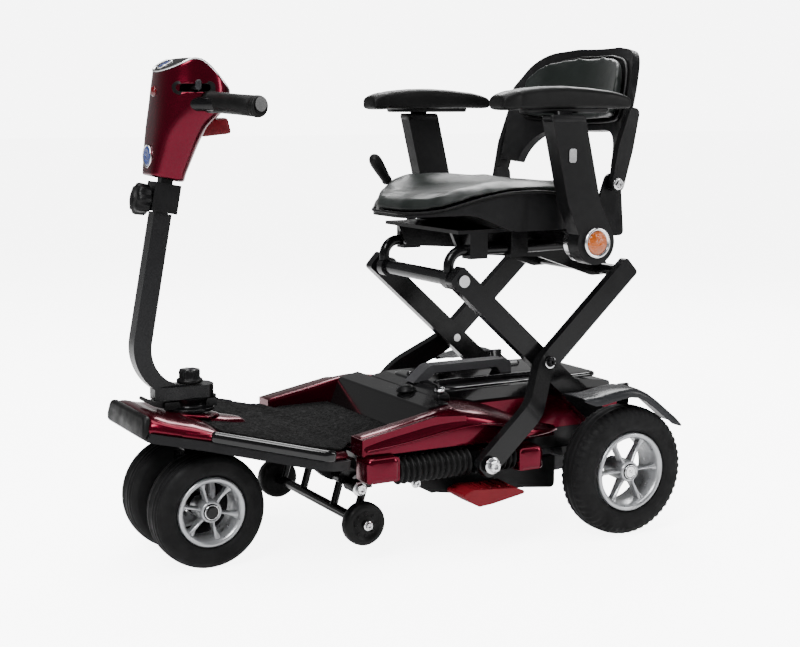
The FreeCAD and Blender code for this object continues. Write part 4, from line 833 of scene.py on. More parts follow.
for side_name, side in SIDES:
    edge = [(along, between(WIDTHS, along) - 1) for along in
            (528, 552, 576, 600, 624, 648, 668, MAT_FRONT - 1)]
    opening = [(along, cut_out(along) + 0.5) for along in (668, 650, 632, 618, 606, 598)]
    run = [on_mat(along, side * across) for along, across in edge]
    run += [at(MAT_FRONT, side * across, mat_base(MAT_FRONT) + 3.4) for across in (118, 90, 60, 44, 39)]
    run += [on_mat(along, side * across) for along, across in opening]
    tube(f"mat_binding_{side_name}", run, 2.4, "front_deck", "mat")
    run = [on_mat(along, side * (between(WIDTHS, along) - 1))
           for along in (MAT_REAR + 1, 390, 420, 450, 462)]
    tube(f"well_mat_binding_{side_name}", run, 2.2, "chassis", "mat")


# ---------------------------------------------------------------- head

HEAD_REAR = ((606, 690), (633, 679), (660, 668), (680, 658), (692, 650), (700, 637), (708, 630),
             (724, 621), (740, 617), (770, 622), (806, 630))
HEAD_FRONT = ((606, 747), (660, 741), (706, 734), (740, 730), (806, 721))
WIDEST = 0.46
REAR_POWER = 2.9
FRONT_POWER = ((606, 3.8), (660, 3.2), (720, 2.5), (760, 2.3))
MOUTH_SLOPE = 0.19
HEAD_HALF = ((606, 33), (633, 40), (660, 47), (692, 58), (706, 63), (724, 65.5), (745, 66),
             (775, 62), (806, 58))
CONSOLE_EDGE = ((600, 720), (622, 735), (640, 752), (668, 783), (686, 789), (712, 776), (737, 762),
                (753, 759), (790, 758))
CONSOLE_RISE = ((600, 5), (640, 7.5), (655, 7.5), (668, 5), (684, 2.2), (712, 3), (745, 4), (790, 2))
AROUND = 112


def eased(table, value, reach):
    """The table's value, averaged over a short stretch so that it has no corners."""
    return sum(between(table, value + reach * k / 3) for k in range(-3, 4)) / 7


def head_point(turn, up, narrow):
    rear, front = eased(HEAD_REAR, up, 9) + narrow, eased(HEAD_FRONT, up, 9) - narrow
    half = eased(HEAD_HALF, up, 9) - narrow
    middle = rear + (front - rear) * WIDEST
    cosine, sine = math.cos(turn), math.sin(turn)
    power = 2 / (between(FRONT_POWER, up) if cosine > 0 else REAR_POWER)
    reach = (front - middle) if cosine > 0 else (middle - rear)
    along = middle + reach * math.copysign(abs(cosine) ** power, cosine)
    return along, half * math.copysign(abs(sine) ** power, sine)


def side_of_head(along, up):
    """Half the head's width at a point along it, in mm."""
    rear, front = eased(HEAD_REAR, up, 9), eased(HEAD_FRONT, up, 9)
    middle = rear + (front - rear) * WIDEST
    power = between(FRONT_POWER, up) if along > middle else REAR_POWER
    reach = (front - middle) if along > middle else (middle - rear)
    share = min(0.99, abs(along - middle) / reach)
    return eased(HEAD_HALF, up, 9) * (1 - share ** power) ** (1 / power)


def edge_height(turn, narrow=0.0):
    up = 765.0
    for _ in range(24):
        up = 0.5 * up + 0.5 * eased(CONSOLE_EDGE, head_point(turn, up, narrow)[0], 8)
    return up


turns = [2 * math.pi * step / AROUND for step in range(AROUND)]
tops = [edge_height(turn) for turn in turns]


def cowl_ring(share, narrow, lift=0.0):
    ring = []
    for turn, top in zip(turns, tops):
        mouth = 606 + (head_point(turn, 606, 0)[0] - 716) * MOUTH_SLOPE
        up = mouth + (top - mouth) * share + lift
        along, across = head_point(turn, up, narrow)
        ring.append(at(along, across, up))
    return ring


outer_rings = [cowl_ring(0, 4.5), cowl_ring(0, 2.0, 0.4), cowl_ring(0, 0.6, 1.6), cowl_ring(0, 0, 3.6)]
outer_rings += [cowl_ring(step / 52, 0) for step in range(2, 53)]
inner_rings = [cowl_ring(1, 1.2, 0.4), cowl_ring(1, 3.6, 0.2)]
inner_rings += [cowl_ring(share, 3.8) for share in (0.9, 0.8, 0.7, 0.6, 0.5, 0.4, 0.3, 0.2, 0.1)]
inner_rings += [cowl_ring(0, 5.0, 2.5)]
rings = outer_rings + inner_rings + [outer_rings[0]]
verts = [v for ring in rings for v in ring]
cowl = piece("cowl", verts, rings_to_faces(len(rings), AROUND), "head", "candy_red", True,
             ("head_shell",))


for side_name, side in SIDES:
    opening = rectangle(662, 737.5, 716, 750.5, 5, 5)
    carve(cowl, [[at(p.x, side * across, p.y) for p in opening] for across in (50, 80)])
    outline = rectangle(656, 733.5, 718, 754, 9)
    inner = rectangle(664, 738.5, 714, 749.5, 5)

    lip = []
    for line, out in ((outline, -2.5), (outline, 0.5), (inner, 1.0), (inner, -2.5), (outline, -2.5)):
        lip += [at(p.x, side * (side_of_head(p.x, p.y) + out), p.y) for p in line]
    surround = piece(f"slot_lip_{side_name}", lip, rings_to_faces(5, len(outline)), "head",
                     "black_rubber")
    round_edges(surround, 0.5, 30, 2)

# console between the cowl's edges
half_turns = [math.pi * step / 60 for step in range(61)]
verts, columns = [], 25
for turn in half_turns:
    top = edge_height(turn, 2.2)
    along, across = head_point(turn, top, 2.2)
    rise = eased(CONSOLE_RISE, along, 6)
    for column in range(columns):
        u = 2 * column / (columns - 1) - 1
        u = math.copysign(abs(u) ** 0.8, u)
        taper = min(1.0, across / 24)
        verts.append(at(along, u * across, top + 0.3 + rise * taper * (1 - abs(u) ** 3)))
console = piece("console", verts, rings_to_faces(61, columns, closed=False), "head",
                "tray_grey", True, ("console_panel",))
if sum(f.normal.z for f in console.data.polygons) < 0:
    console.data.flip_normals()
modify(console, "body", "SOLIDIFY", thickness=2.5 * MM, offset=-1)

trim_line = []
for turn in [2 * math.pi * step / 64 for step in range(64)]:
    top = edge_height(turn, 0.9)
    along, across = head_point(turn, top, 0.9)
    trim_line.append(at(along, across, top + 0.9))
tube("console_trim", trim_line, 1.7, "head", "plated_steel", closed=True)


def medallion(name, centre, axis, radius, body):
    rim = [(-1.5, radius - 3), (-1.5, radius), (1.2, radius), (1.8, radius - 0.8),
           (1.2, radius - 1.8), (0.9, radius - 3)]
    lathe(name + "_rim", rim, centre, axis, body, "plated_steel", 60)
    face = [(-1.5, 0.2), (-1.5, radius - 1.6), (0.7, radius - 1.6), (1.5, radius * 0.75),
            (2.1, radius * 0.62), (1.7, radius * 0.58), (2.3, radius * 0.3), (2.4, 0.2)]
    lathe(name + "_face", face, centre, axis, body, "medallion_blue", 60)


medallion("console_medallion", at(712, 0, 779.4), (0.47, 0, 0.883), 13, "head")
medallion("front_medallion", at(743.4, 0, 641), (1, 0, 0.02), 18, "head")
lamp_profile = [(-3, 0.2), (-3, 8), (0.5, 8.3), (1.5, 7.8), (3.6, 5.8), (4.7, 3), (5.0, 0.2)]
lathe("front_lamp", lamp_profile, at(730.5, 0, 739), (1, 0, 0.05), "head", "red_lens", 48)

key_box = rectangle(610, -19, 660, 19, 7)
slab("under_lamp", key_box, pillow_layers(672, 697, 5),
     lambda u, v, h: at(u + (h - 672) * 0.25, v, h + (u - 635) * -0.10), "head", "pedal_red")


DIAL_ALONG, SLOPE_UP = 650, 770.6
SLOPE_SINE, SLOPE_COSINE = 0.742, 0.67
SLOPE_AXIS = (-SLOPE_SINE, 0, SLOPE_COSINE)


def on_slope(u, v, h):
    """A point of the console's rear slope, from the dial's axis: down the slope, across, out."""
    return at(DIAL_ALONG - u * SLOPE_COSINE - h * SLOPE_SINE, v,
              SLOPE_UP - u * SLOPE_SINE + h * SLOPE_COSINE)


gauge = rectangle(13, -17, 23, 17, 3, 5)
slab("charge_gauge", gauge, [(-4, 0), (0.8, 0), (1.6, 0.8)], on_slope, "head", "gloss_black")
for number in range(5):
    spot = on_slope(18, -12 + 6 * number, 1.6)
    lathe(f"gauge_light_{number}", [(-1, 0.1), (-1, 1.5), (0.3, 1.5), (0.9, 0.1)], spot,
          SLOPE_AXIS, "head", "amber_lens" if number else "red_lens", 20)
for side_name, side in SIDES:
    button = rectangle(-7, side * 24 - 7, 7, side * 24 + 7, 5)
    slab(f"console_button_{side_name}", button, [(-6, 0), (-0.5, 0), (1.2, 1.2), (1.6, 3)],
         on_slope, "head", "handle_grey")


def dial_lobes(step, index):
    return 0.5 * math.cos(math.pi * step / 2) if index in (2, 3) else 0.0


lathe("speed_dial_cap", [(0.4, 0.3), (0.4, 9), (1.4, 9.2), (6.5, 8.2), (8.0, 6.8), (8.4, 0.3)],
      at(DIAL_ALONG, 0, SLOPE_UP + 0.5), SLOPE_AXIS, "speed_dial", "handle_grey", 72, ("speed_dial",),
      dial_lobes)

THROTTLE_ALONG, THROTTLE_UP = 688, 744
grip_low, grip_high = at(664, 68, 723), at(633, 173, 716.5)
for side_name, side in SIDES:
    start = Vector((grip_low.x, side * grip_low.y, grip_low.z))
    end = Vector((grip_high.x, side * grip_high.y, grip_high.z))
    length = (end - start).length / MM + 4
    profile = [(-6, 11.6), (-6, 15.6), (-4, 16.8), (3, 16.8), (4.5, 15.8), (30, 15.6), (60, 15.4),
               (length - 13, 15.8), (length - 12.2, 15.0), (length - 11, 15.0),
               (length - 10.2, 16.2), (length - 6, 16.4), (length - 5.2, 15.6),
               (length - 4.2, 15.6), (length - 3.4, 16.2), (length - 0.9, 15.4), (length, 13.8),
               (length, 11.4), (length - 0.8, 10.6), (length - 0.8, 6), (length - 0.2, 0.3),
               (length - 8, 0.3), (length - 8, 11.6)]
    lathe(f"grip_{side_name}", profile, start, end - start, "head", "black_rubber", 72,
          once("grips", side))
    if side > 0:
        bar = rectangle(-2.4, -3, 2.4, 3, 1, 3)
        slab("throttle_bar", bar, [(-74.5, 0.4), (-74, 0), (74, 0), (74.5, 0.4)],
             lambda u, v, h: at(THROTTLE_ALONG + u, h, THROTTLE_UP + v), "throttle_lever", "black_plastic",
             ("throttle_lever",))
    thumb = rectangle(-4.5, -3.5, 4.5, 12, 4)
    layers = [(73.4, 1.2), (74, 0.3), (76, 0), (78.6, 0), (79.8, 0.8), (80.6, 2.4)]
    slab(f"throttle_thumb_{side_name}", thumb, layers,
         lambda u, v, h: at(THROTTLE_ALONG + u, side * h, THROTTLE_UP + v), "throttle_lever",
         "fender_grey")

# ---------------------------------------------------------------- tiller fittings


def lobed(count, depth, start, stop):
    return lambda step, index: (depth * math.cos(2 * math.pi * count * step / 96)
                                if start <= index < stop else 0.0)


knob_profile = [(0, 0.3), (0, 19), (1, 20.5), (4, 21), (6, 20), (7.5, 16.5), (9, 16.2), (18, 16.6),
                (21, 15.2), (22.2, 12), (21.4, 8), (20.8, 0.3)]
lathe("pivot_star_knob", knob_profile, at(STEM_ALONG, 0, 284), (0, 0, 1), "tiller", "black_plastic", 96,
      ("pivot_knob",), lobed(8, 1.4, 5, 10))
COLUMN_LEAN = math.radians(10.7)
KNOB_RISE = 16
knob_axis = Vector((math.cos(COLUMN_LEAN), 0, math.sin(COLUMN_LEAN)))
knob_middle = at(725 - KNOB_RISE * math.sin(COLUMN_LEAN), 0, 554 + KNOB_RISE * math.cos(COLUMN_LEAN))
knob_profile = [(11, 0.3), (11, 4.2), (21, 4.2), (21.5, 14), (23, 20), (26, 22.6), (40, 23.4),
                (44, 22), (46.5, 17), (45.4, 11), (45, 0.3)]
lathe("height_star_knob", knob_profile, knob_middle, knob_axis, "height_knob", "black_plastic", 96,
      ("height_knob",), lobed(8, 1.5, 4, 8))


# ---------------------------------------------------------------- cushions


def relaxed(bm, rounds):
    for _ in range(rounds):
        bmesh.ops.smooth_vert(bm, verts=bm.verts, factor=0.5, use_axis_x=True, use_axis_y=True,
                              use_axis_z=True)


def even_mesh(node, name, voxel_mm, shrink_mm, rounds):
    """A copy of a CAD solid with even faces, softened edges and room to swell."""
    holder = placed(name, copy_of(node, name))
    modify(holder, "even", "REMESH", mode="VOXEL", voxel_size=voxel_mm * MM)
    mesh = evaluated(holder)
    bpy.data.objects.remove(holder)

    def soften(bm):
        relaxed(bm, rounds)
        bm.normal_update()
        for vert in bm.verts:
            vert.co -= vert.normal * shrink_mm * MM

    edited(mesh, soften)
    mesh.name = name
    return mesh


SWELL_FRAMES = 20
CLOTH = {"quality": 6, "mass": 0.3, "use_pressure": True, "uniform_pressure_force": 4,
         "tension_stiffness": 12, "compression_stiffness": 12, "bending_stiffness": 2,
         "vertex_group_mass": "held"}


def inflate(obj, held, cap_mm):
    """Cloth with pressure from inside; held(vertex) keeps the side that lies on its panel."""
    rest = [v.co.copy() for v in obj.data.vertices]
    group = obj.vertex_groups.new(name="held")
    group.add([v.index for v in obj.data.vertices if held(v)], 1.0, "REPLACE")
    cloth = obj.modifiers.new("inflate", "CLOTH")
    for key, value in CLOTH.items():
        setattr(cloth.settings, key, value)
    cloth.settings.effector_weights.gravity = 0
    cloth.collision_settings.use_collision = False
    cloth.point_cache.frame_start = 1
    cloth.point_cache.frame_end = SWELL_FRAMES
    scene = bpy.context.scene
    for step in range(1, SWELL_FRAMES + 1):
        scene.frame_set(step)
    graph = bpy.context.evaluated_depsgraph_get()
    moved = [v.co.copy() for v in obj.evaluated_get(graph).data.vertices]
    obj.modifiers.remove(cloth)
    obj.vertex_groups.clear()
    scene.frame_set(1)
    for vert, old, new in zip(obj.data.vertices, rest, moved):
        step = new - old
        if step.length > cap_mm * MM:
            step *= cap_mm * MM / step.length
        vert.co = old + step
    obj.data.update()


TAUT_ROUNDS = 14


def cushion(name, node, body, voxel_mm, shrink_mm, held, cap_mm, shape):
    """The vinyl is taut over firm foam, so the swollen form is smoothed until it has no folds."""
    mesh = even_mesh(node, name, voxel_mm, shrink_mm, 4)
    obj = adopt(name, mesh, body, "seat_vinyl", True, (node,))
    inflate(obj, held, cap_mm)
    for vert in obj.data.vertices:
        vert.co = shape(vert.co.copy(), vert.normal)
    edited(obj.data, lambda bm: relaxed(bm, TAUT_ROUNDS))
    obj.data.update()
    subdivide(obj, 1)
    return obj


SEAM = ((12, 571), (113, 575), (135, 577.5), (150, 579.3), (190, 579.3), (212, 578), (235, 573),
        (262, 563), (285, 553.5), (300, 548), (315, 543.5), (330, 541), (360, 540))
PULL_FROM, PULL = 190, 0.86


def pulled(along):
    """The seat's front drawn back a little from the CAD solid's front edge."""
    return PULL_FROM + (along - PULL_FROM) * PULL if along > PULL_FROM else along


def dished(point, normal):
    """Lowers the middle of the seat's top and draws its front back."""
    along, across = (point.x - REAR_AXLE) / MM, point.y / MM
    point.x = REAR_AXLE + pulled(along) * MM
    if normal.z > 0.1:
        depth = 16.0 * math.exp(-((along - 190) / 125) ** 4) * math.exp(-(across / 112) ** 4)
        waist = 2.5 * math.exp(-((along - 290) / 34) ** 2) * math.exp(-(across / 95) ** 4)
        point.z -= (depth + waist) * MM * min(1.0, normal.z * 1.4)
    wrinkle = noise.noise(Vector((along * 0.018, across * 0.018, 7.0)))
    point.z += 0.5 * wrinkle * MM
    return point


def on_seat_panel(vert):
    return vert.normal.z < -0.35


cushion("seat_pad", "seat_cushion", "seat", 5.0, 3.0, on_seat_panel, 7.0, dished)

seat_outline = rounded(mirrored([(14, 165, 14), (52, 165, 40), (112, 202, 50), (205, 202, 90),
                                 (300, 202 * 0.58, 60), (352, 202 * 0.24, 50)]), 6)
seat_edge = divided(seat_outline + seat_outline[:1], 14)
piping = [at(pulled(p.x), p.y, eased(SEAM, p.x, 14) + 1.2) for p in inset(seat_edge, 0.6)]
tube("seat_piping", piping, 2.5, "seat", "black_rubber", closed=True)
pan = copy_of("seat_pan", "seat_pan_shell")
for vert in pan.vertices:
    vert.co.x = REAR_AXLE + pulled((vert.co.x - REAR_AXLE) / MM) * MM
round_edges(adopt("seat_pan_shell", pan, "seat", "black_plastic", False, ("seat_pan",)), 2.0)

# ---------------------------------------------------------------- backrest

BACK_TILT = math.radians(13)
BACK_HALF, BACK_SAG = 183, 58
BACK_RADIUS = (BACK_HALF ** 2 + BACK_SAG ** 2) / (2 * BACK_SAG)
BACK_ALONG, BACK_UP = -14, 588


def on_back(across, rise, depth):
    """A point of the curved backrest: across, up along it, and forward of its rear face."""
    reach = BACK_RADIUS - depth
    along = BACK_RADIUS - BACK_SAG - math.sqrt(max(1.0, reach * reach - across * across))
    return at(BACK_ALONG + along * math.cos(BACK_TILT) - rise * math.sin(BACK_TILT), across,
              BACK_UP + along * math.sin(BACK_TILT) + rise * math.cos(BACK_TILT))


def on_back_panel(vert):
    """The cushion's rear face, which lies on the shell."""
    forward = Vector((math.cos(BACK_TILT), 0, math.sin(BACK_TILT)))
    return vert.normal.dot(forward) < -0.45


BACK_DRAW = 0.93
BACK_FOOT = 112


def back_crown(point, _normal):
    """Draws the cushion in from the shell's rim, which shows all round it."""
    uphill = Vector((-math.sin(BACK_TILT), 0, math.cos(BACK_TILT)))
    rise = (point - at(BACK_ALONG, 0, BACK_UP)).dot(uphill) / MM
    point -= uphill * (rise - BACK_FOOT) * (1 - BACK_DRAW) * MM
    point.y *= BACK_DRAW
    return point


cushion("back_pad", "back_cushion", "backrest", 4.5, 2.5, on_back_panel, 9.0, back_crown)
face_line = rounded([(-162, 112, 30), (162, 112, 30), (166, 160, 55), (128, 222, 80),
                     (50, 238, 100), (-50, 238, 100), (-128, 222, 80), (-166, 160, 55)], 7)
face_edge = divided(face_line + face_line[:1], 12)
drawn_edge = [(p.x * BACK_DRAW, BACK_FOOT + (p.y - BACK_FOOT) * BACK_DRAW)
              for p in inset(face_edge, -0.4)]
tube("back_piping", [on_back(x, y, 17.5) for x, y in drawn_edge], 2.6, "backrest",
     "black_rubber", closed=True)

# ---------------------------------------------------------------- armrests

PAD_LINE = ((0.5, 716.5, 727.5, 19), (2, 713.5, 731, 22), (6, 712.3, 733.6, 23.8), (16, 712, 737, 24.6),
            (36, 712.5, 741.5, 25), (80, 712, 746, 25), (125, 711.5, 748.6, 25), (165, 711, 748, 25),
            (200, 710.5, 745, 25.2), (214, 710.5, 743.2, 25.4), (217.5, 711.6, 741.4, 24.4),
            (221, 710.2, 742.4, 25.6), (236, 710, 738.5, 25.4), (244, 710.6, 734.8, 24.4),
            (247.5, 712.6, 732, 22.4), (249, 716.5, 728, 19))


PAD_ACROSS = 213
POST_SLANT = 32 / 134


def pad_look(side_name, side):
    rings = []
    stations = []
    for first, second in zip(PAD_LINE, PAD_LINE[1:]):
        parts = max(1, int((second[0] - first[0]) / 9))
        stations += [first[0] + (second[0] - first[0]) * k / parts for k in range(parts)]
    stations.append(PAD_LINE[-1][0])
    for along in stations:
        low, high, half = (between([(p[0], p[k]) for p in PAD_LINE], along) for k in (1, 2, 3))
        ring = []
        for step in range(36):
            turn = 2 * math.pi * step / 36
            cosine, sine = math.cos(turn), math.sin(turn)
            power = 0.42 if sine < 0 else 0.62
            across = PAD_ACROSS + half * math.copysign(abs(cosine) ** power, cosine)
            up = (low + high) / 2 + (high - low) / 2 * math.copysign(abs(sine) ** power, sine)
            ring.append(at(along, side * across, up))
        rings.append(ring)
    obj = loft(f"armrest_top_{side_name}", rings, f"armrest_pad_{side_name}", "black_rubber",
               replaces=(f"armrest_pad_{side_name}",))
    subdivide(obj, 1)
    plate = rectangle(42, 204, 204, 231, 8, 5)
    slab(f"armrest_plate_{side_name}", plate, [(705.5, 3), (707, 1), (710, 0), (714, 0)],
         level(side),
         f"armrest_pad_{side_name}", "black_plastic")
    tongue = rectangle(-15, -7, 15, 7, 4, 5)

    def on_post(u, v, h):
        return at(133.2 + u + (h - 702) * POST_SLANT, side * (231 + v), h)

    slab(f"armrest_stem_{side_name}", tongue, [(604, 1.5), (606, 0), (709, 0)], on_post,
         f"armrest_pad_{side_name}", "black_steel")
    collar = rectangle(-34, -15.6, 33, 15.6, 6)
    slab(f"post_collar_{side_name}", collar, [(692, 0), (699.5, 0), (702.6, 1.0), (703.4, 2.6)],
         on_post, f"armrest_{side_name}", "black_plastic")


both_sides(pad_look)


def reflector_look(side_name, side):
    centre = at(75, side * 246.5, 498)
    ring = [(0, 18.5), (0, 24.8), (2.5, 25.2), (4.5, 24.2), (5.4, 22.4), (4.6, 20.6), (2.6, 19.5),
            (2.6, 18.5)]
    lathe(f"reflector_ring_{side_name}", ring, centre, (0, side, 0), "seat", "plated_steel", 80)
    glass = [(0.5, 0.3), (0.5, 19.5), (3.5, 19.1), (5.6, 16.2), (7.4, 10.6), (8.3, 5), (8.5, 0.3)]
    lathe(f"reflector_lens_{side_name}", glass, centre, (0, side, 0), "seat", "amber_lens", 80,
          once("reflectors", side))


both_sides(reflector_look)

for side_name, side in SIDES:
    hexagon_bolt(f"back_bolt_{side_name}", at(BACK_ALONG, side * 185.5, BACK_UP), (0, side, 0), 14, "seat")

stick_low, stick_high = at(163, -210.8, 511), at(230, -210.8, 612)
run = (stick_high - stick_low).normalized()
capsule = [(-8, 0.3), (-8, 6), (-6, 8.5), (-2, 9.6), (3, 9.0), (10, 9.6), (24, 11), (36, 11.8),
           (44, 11.2), (50, 8.6), (53.5, 4.6), (54.6, 0.3)]
lathe("seat_lever_grip", capsule, stick_high - run * 34 * MM + Vector((0, -0.003, 0)), run,
      "seat_lever", "black_rubber", 56)


# ---------------------------------------------------------------- rear body

# Top of the fairing along the body, the height of its inner edge, and where that edge runs.
FAIRING_TOP = ((92, 186), (120, 193), (161, 199), (205, 210), (250, 225), (290, 232), (346, 231.5),
               (400, 221), (440, 214), (478, 207.5))
FAIRING_INNER_UP = ((92, 176), (120, 186), (161, 204), (205, 224), (250, 236), (296, 240.5),
                    (300, 240), (346, 232.5), (400, 221.5), (478, 207.5))
FAIRING_OUTER = ((92, 176), (112, 186), (140, 196), (180, 200), (300, 201.5), (440, 201.5),
                 (478, 199.5))
STATIONS = (92, 98, 120, 150, 180, 210, 240, 270, 292, 302, 330, 356, 380, 410, 440, 466, 474, 478)


def fairing(side_name, side):
    rings = []
    for index, along in enumerate(STATIONS):
        outer = between(FAIRING_OUTER, along)
        top = between(FAIRING_TOP, along)
        inner = 121 if along < 296 else 158.8
        inner_up = between(FAIRING_INNER_UP, along)
        low = 176 if along < 296 else 177.5
        floor = 178 if along < 296 else 189.5
        middle = (outer + inner) / 2
        bulge = (top + inner_up) / 2
        section = [(outer - 5, low), (outer - 0.5, low + 1), (outer, low + 6),
                   (outer - 0.5, (low + top) / 2), (outer - 4, top - 8), (outer - 12, top - 2),
                   (middle + 6, bulge + 0.5), (inner + 5, inner_up), (inner, inner_up - 1.5),
                   (inner, (floor + inner_up) / 2), (inner, min(floor, inner_up - 6)),
                   (inner + 4, min(low, inner_up - 8))]
        shrink = {0: 2.5, len(STATIONS) - 1: 1.5}.get(index, 0.0)
        centre = Vector((middle, (low + top) / 2))
        ring = []
        for across, up in section:
            point = Vector((across, up))
            if shrink:
                point += (centre - point).normalized() * shrink
            ring.append(at(along, side * point.x, point.y))
        rings.append(ring)
    obj = loft(f"side_fairing_{side_name}", rings, "chassis", "candy_red")
    subdivide(obj, 2)


both_sides(fairing)


def swoosh(side_name, side):
    """The raised line that sweeps along the fairing's flank."""
    line = [(472, 201, 188), (430, 203.4, 191), (380, 203.6, 197), (330, 203.4, 205),
            (280, 202.8, 211), (235, 201.5, 207), (195, 200, 198), (160, 198.5, 190)]
    tube(f"fairing_line_{side_name}", [at(a, side * b, c) for a, b, c in line], 2.0, "chassis",
         "candy_red")


both_sides(swoosh)


def end_blocks(side_name, side):
    """Rounded caps over the ends of the slide rails."""
    caps = (("front", 420.5, 477, 137.5, 179), ("rear", 150, 198.5, 125.5, 165))
    for name, first, last, low, high in caps:
        outline = rounded([(first, low, 5), (last, low, 5), (last, high, 9), (first, high, 9)], 6)
        slab(f"{name}_rail_cap_{side_name}", outline,
             [(171.5, 3), (172.5, 0.6), (176, 0), (207, 0), (212, 1.2), (214.6, 3.6), (215.8, 8)],
             upright(side), "chassis", "candy_red")


both_sides(end_blocks)


SLEEVE_RADIUS = 22
carriage_low, carriage_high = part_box("slide_carriages")
SLIDE_UP = (carriage_low[2] + carriage_high[2]) / 2 / MM
SLIDE_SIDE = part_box("bellows")[1][1] / MM - SLEEVE_RADIUS


def pleats(name, first, last, ridge, valley, side, body):
    count = max(3, round((last - first) / 10.5))
    pitch = (last - first) / count
    profile = [(first, valley - 4)]
    for step in range(count * 10 + 1):
        place = first + pitch * step / 10
        wave = 0.5 - 0.5 * math.cos(2 * math.pi * step / 10)
        profile.append((place, valley + (ridge - valley) * wave ** 0.8))
    profile.append((last, valley - 4))
    centre = at(0, side * SLIDE_SIDE, SLIDE_UP)
    return lathe(name, profile, centre, (1, 0, 0), body, "black_rubber", 56, ("bellows",))


for side_name, side in SIDES:
    front_sleeve = pleats(f"bellows_front_{side_name}", 283, 420, 22.5, 16, side, "chassis")
    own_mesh(front_sleeve)
    pleats(f"bellows_rear_fixed_{side_name}", 199, 248, 22.5, 17, side, "chassis")
    pleats(f"bellows_rear_moving_{side_name}", 201, 249, 15.8, 13.5, side, "slide_carriages")

# gloss cover and what sits on it
crown = rounded(mirrored([(-52, 92, 22), (272, 98, 30)]), 7)
slab("cover_crown", crown, [(244, 0), (247.5, 0), (249.4, 1.4), (250.4, 4.5), (250.8, 12)],
     at, "chassis", "gloss_black")
for side_name, side in SIDES:
    rail = rounded([(20, side * 58 - 9, 8), (262, side * 46 - 7, 6), (262, side * 46 + 7, 6),
                    (20, side * 58 + 9, 8)], 6)
    slab(f"cover_rib_{side_name}", rail, [(249, 0), (253, 0.6), (255.4, 2.4), (256.2, 5)],
         at, "chassis", "gloss_black")
dome = [(0, 0.3), (0, 17), (1.5, 17), (5, 14.5), (8.5, 9.5), (10, 4), (10.3, 0.3)]
lathe("cover_dome", dome, at(312, 40, 242.5), (0.12, 0, 1), "chassis", "black_plastic", 56)
catch = rounded([(280, 118, 5), (302, 112, 5), (306, 132, 5), (284, 140, 5)], 5)
slab("cover_catch", catch, [(238, 0), (247, 0.4), (250, 2.2), (251, 4.5)],
     at, "chassis", "black_plastic")
tube("catch_lever", [at(296, 126, 248), at(299, 125, 262), at(303, 124, 268), at(309, 122, 269)], 4.2,
     "chassis", "gloss_black")
lathe("catch_ring", [(-3, 4.5), (-3, 8), (0, 9.2), (3, 8), (3, 4.5)], at(297, 126, 256), (0.2, 0, 1),
      "chassis", "plated_steel", 40)


def fender(side_name, side):
    line = [Vector(p) for p in ((99, 243), (88, 241.5), (76, 240), (62, 240.5), (44, 243.5),
                                (24, 246.5), (4, 248), (-14, 245), (-32, 236.5), (-52, 222.5),
                                (-72, 206.5), (-90, 192), (-104, 181))]
    stations = divided(line, 8) + [line[-1]]
    section = [(197, 1.5), (198, 3.5), (204, 4.6), (228, 5.6), (248, 4.6), (254.5, 2.8),
               (257.4, -0.5), (258, -5), (257.8, -10), (255.6, -10), (255.2, -4.5), (253.5, -0.6),
               (247.5, 1.6), (228, 2.6), (204, 1.6)]
    rings = []
    for index, point in enumerate(stations):
        ahead = stations[min(index + 1, len(stations) - 1)] - stations[max(index - 1, 0)]
        normal = Vector((ahead.y, -ahead.x)).normalized()
        if normal.y < 0:
            normal = -normal
        end = min(index, len(stations) - 1 - index)
        droop = 0.35 if end == 0 else (0.7 if end == 1 else 1.0)
        rings.append([at(point.x + normal.x * lift * droop, side * across,
                         point.y + normal.y * lift * droop) for across, lift in section])
    obj = loft(f"fender_{side_name}", rings, "chassis", "fender_grey")
    round_edges(obj, 0.7, 40, 2)
    arm = rounded([(-36, 108, 4), (-4, 108, 4), (-8, 206, 5), (-32, 206, 5)], 5)
    slab(f"fender_arm_{side_name}", arm, [(189.6, 0.8), (190.6, 0), (194.5, 0), (195.6, 0.8)],
         level(side), "chassis", "black_steel")
    post = rounded([(-34, 190, 5), (-12, 190, 5), (-10, 250.5, 3), (-34, 250.5, 3)], 5)
    slab(f"fender_post_{side_name}", post, [(196.5, 0.8), (197.3, 0), (200.2, 0), (201, 0.8)],
         upright(side), "chassis", "black_steel",
         once("fenders", side))


both_sides(fender)

# tail lamps: ribbed red lenses in a dark frame
for side_name, side in SIDES:
    frame_line = rounded([(88, 182, 6), (124, 182, 6), (124, 222, 9), (88, 222, 9)], 6)
    slab(f"tail_frame_{side_name}", frame_line, [(-76, 0), (-81.5, 0.3), (-82, 2), (-80.5, 3.2)],
         from_behind(side), "chassis", "black_plastic")
    for number in range(6):
        low = 185.5 + number * 5.6
        bar = rectangle(91, low, 121, low + 5, 1.5, 3)
        slab(f"tail_lens_{side_name}_{number}", bar, [(-78, 0), (-81.5, 0), (-83.2, 1.4), (-83.6, 2.3)],
             from_behind(side), "chassis", "red_lens",
             ("tail_lights",) if side > 0 and number == 0 else ())

# pedal with ribs
for number in range(5):
    along = 225 + 17 * number
    rib = [at(along, 190, 111.5), at(along + 3, 212, 112.2), at(along + 5, 232, 111.4)]
    tube(f"pedal_rib_{number}", rib, 1.6, "release_pedal", "pedal_red")

# ---------------------------------------------------------------- arms

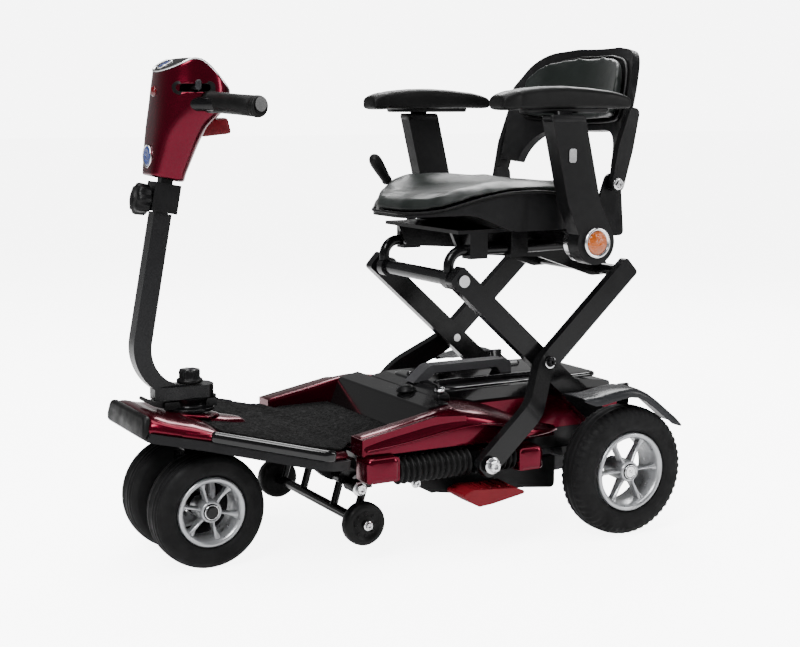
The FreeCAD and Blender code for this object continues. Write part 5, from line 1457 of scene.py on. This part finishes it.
pin_out = carriage_high[1] / MM
for side_name, side in SIDES:
    out = (0, side, 0)
    hexagon_bolt(f"carriage_bolt_{side_name}", at(266, side * pin_out, 150), out, 19, "slide_carriages")
    hexagon_bolt(f"crossing_bolt_{side_name}", at(109, side * 171.5, 294), out, 13, "lift_arms",
                 "black_steel")
    hexagon_bolt(f"hinge_bolt_{side_name}", at(466, side * 166.5, 121), out, 17, "chassis")
    hexagon_bolt(f"skirt_bolt_head_{side_name}", at(367, side * 171, 119), out, 12, "chassis")


# ---------------------------------------------------------------- studio

floor_mesh = bpy.data.meshes.new("studio_floor")
edited(floor_mesh, lambda bm: bmesh.ops.create_grid(bm, x_segments=8, y_segments=8, size=30))
floor = placed("studio_floor", floor_mesh)
floor.data.materials.append(studio_floor())

BACKDROP = 7.0
AMBIENT = 0.35


def studio_sky():
    """A soft gradient that lights the part, and an even white that the camera sees."""
    world = bpy.data.worlds.new("studio")
    bpy.context.scene.world = world
    world.use_nodes = True
    nodes_of, links = world.node_tree.nodes, world.node_tree.links
    ambient = nodes_of["Background"]
    ambient.inputs["Strength"].default_value = AMBIENT
    split = nodes_of.new("ShaderNodeSeparateXYZ")
    ramp = nodes_of.new("ShaderNodeValToRGB")
    first, last = ramp.color_ramp.elements
    first.position, first.color = 0.0, (1.0, 1.0, 1.0, 1)
    last.position, last.color = 0.75, (0.32, 0.32, 0.33, 1)
    ramp.color_ramp.elements.new(0.18).color = (0.97, 0.97, 0.97, 1)
    links.new(nodes_of.new("ShaderNodeTexCoord").outputs["Generated"], split.inputs["Vector"])
    links.new(split.outputs["Z"], ramp.inputs["Fac"])
    links.new(ramp.outputs["Color"], ambient.inputs["Color"])
    white = nodes_of.new("ShaderNodeBackground")
    white.inputs["Color"].default_value = (1.0, 1.0, 1.0, 1)
    white.inputs["Strength"].default_value = BACKDROP
    choose = nodes_of.new("ShaderNodeMixShader")
    links.new(nodes_of.new("ShaderNodeLightPath").outputs["Is Camera Ray"], choose.inputs[0])
    links.new(ambient.outputs[0], choose.inputs[1])
    links.new(white.outputs[0], choose.inputs[2])
    links.new(choose.outputs[0], nodes_of["World Output"].inputs["Surface"])


studio_sky()
MIDDLE = Vector((0.0, 0.0, 0.35))


def softbox(name, place, size_x, size_y, power):
    data = bpy.data.lights.new(name, "AREA")
    data.shape = "RECTANGLE"
    data.size = size_x
    data.size_y = size_y
    data.energy = power
    lamp = placed(name, data)
    lamp.location = place
    lamp.rotation_euler = (MIDDLE - Vector(place)).to_track_quat("-Z", "Y").to_euler()


softbox("key_softbox", (2.0, 1.6, 2.6), 1.4, 1.4, 170)
softbox("side_softbox", (-2.3, 2.0, 1.3), 0.5, 1.6, 40)
softbox("back_softbox", (-1.6, -2.0, 2.4), 2.0, 1.0, 110)
softbox("top_softbox", (0.0, 0.0, 3.2), 2.4, 2.4, 150)

camera_data = bpy.data.cameras.new("camera")
camera_data.lens = 65.5
camera_data.sensor_width = 36
camera = placed("camera", camera_data)
camera.location = (1.1602, 2.1429, 0.7178)
camera.rotation_euler = (math.radians(81.48), 0, math.radians(150.90))
bpy.context.scene.camera = camera
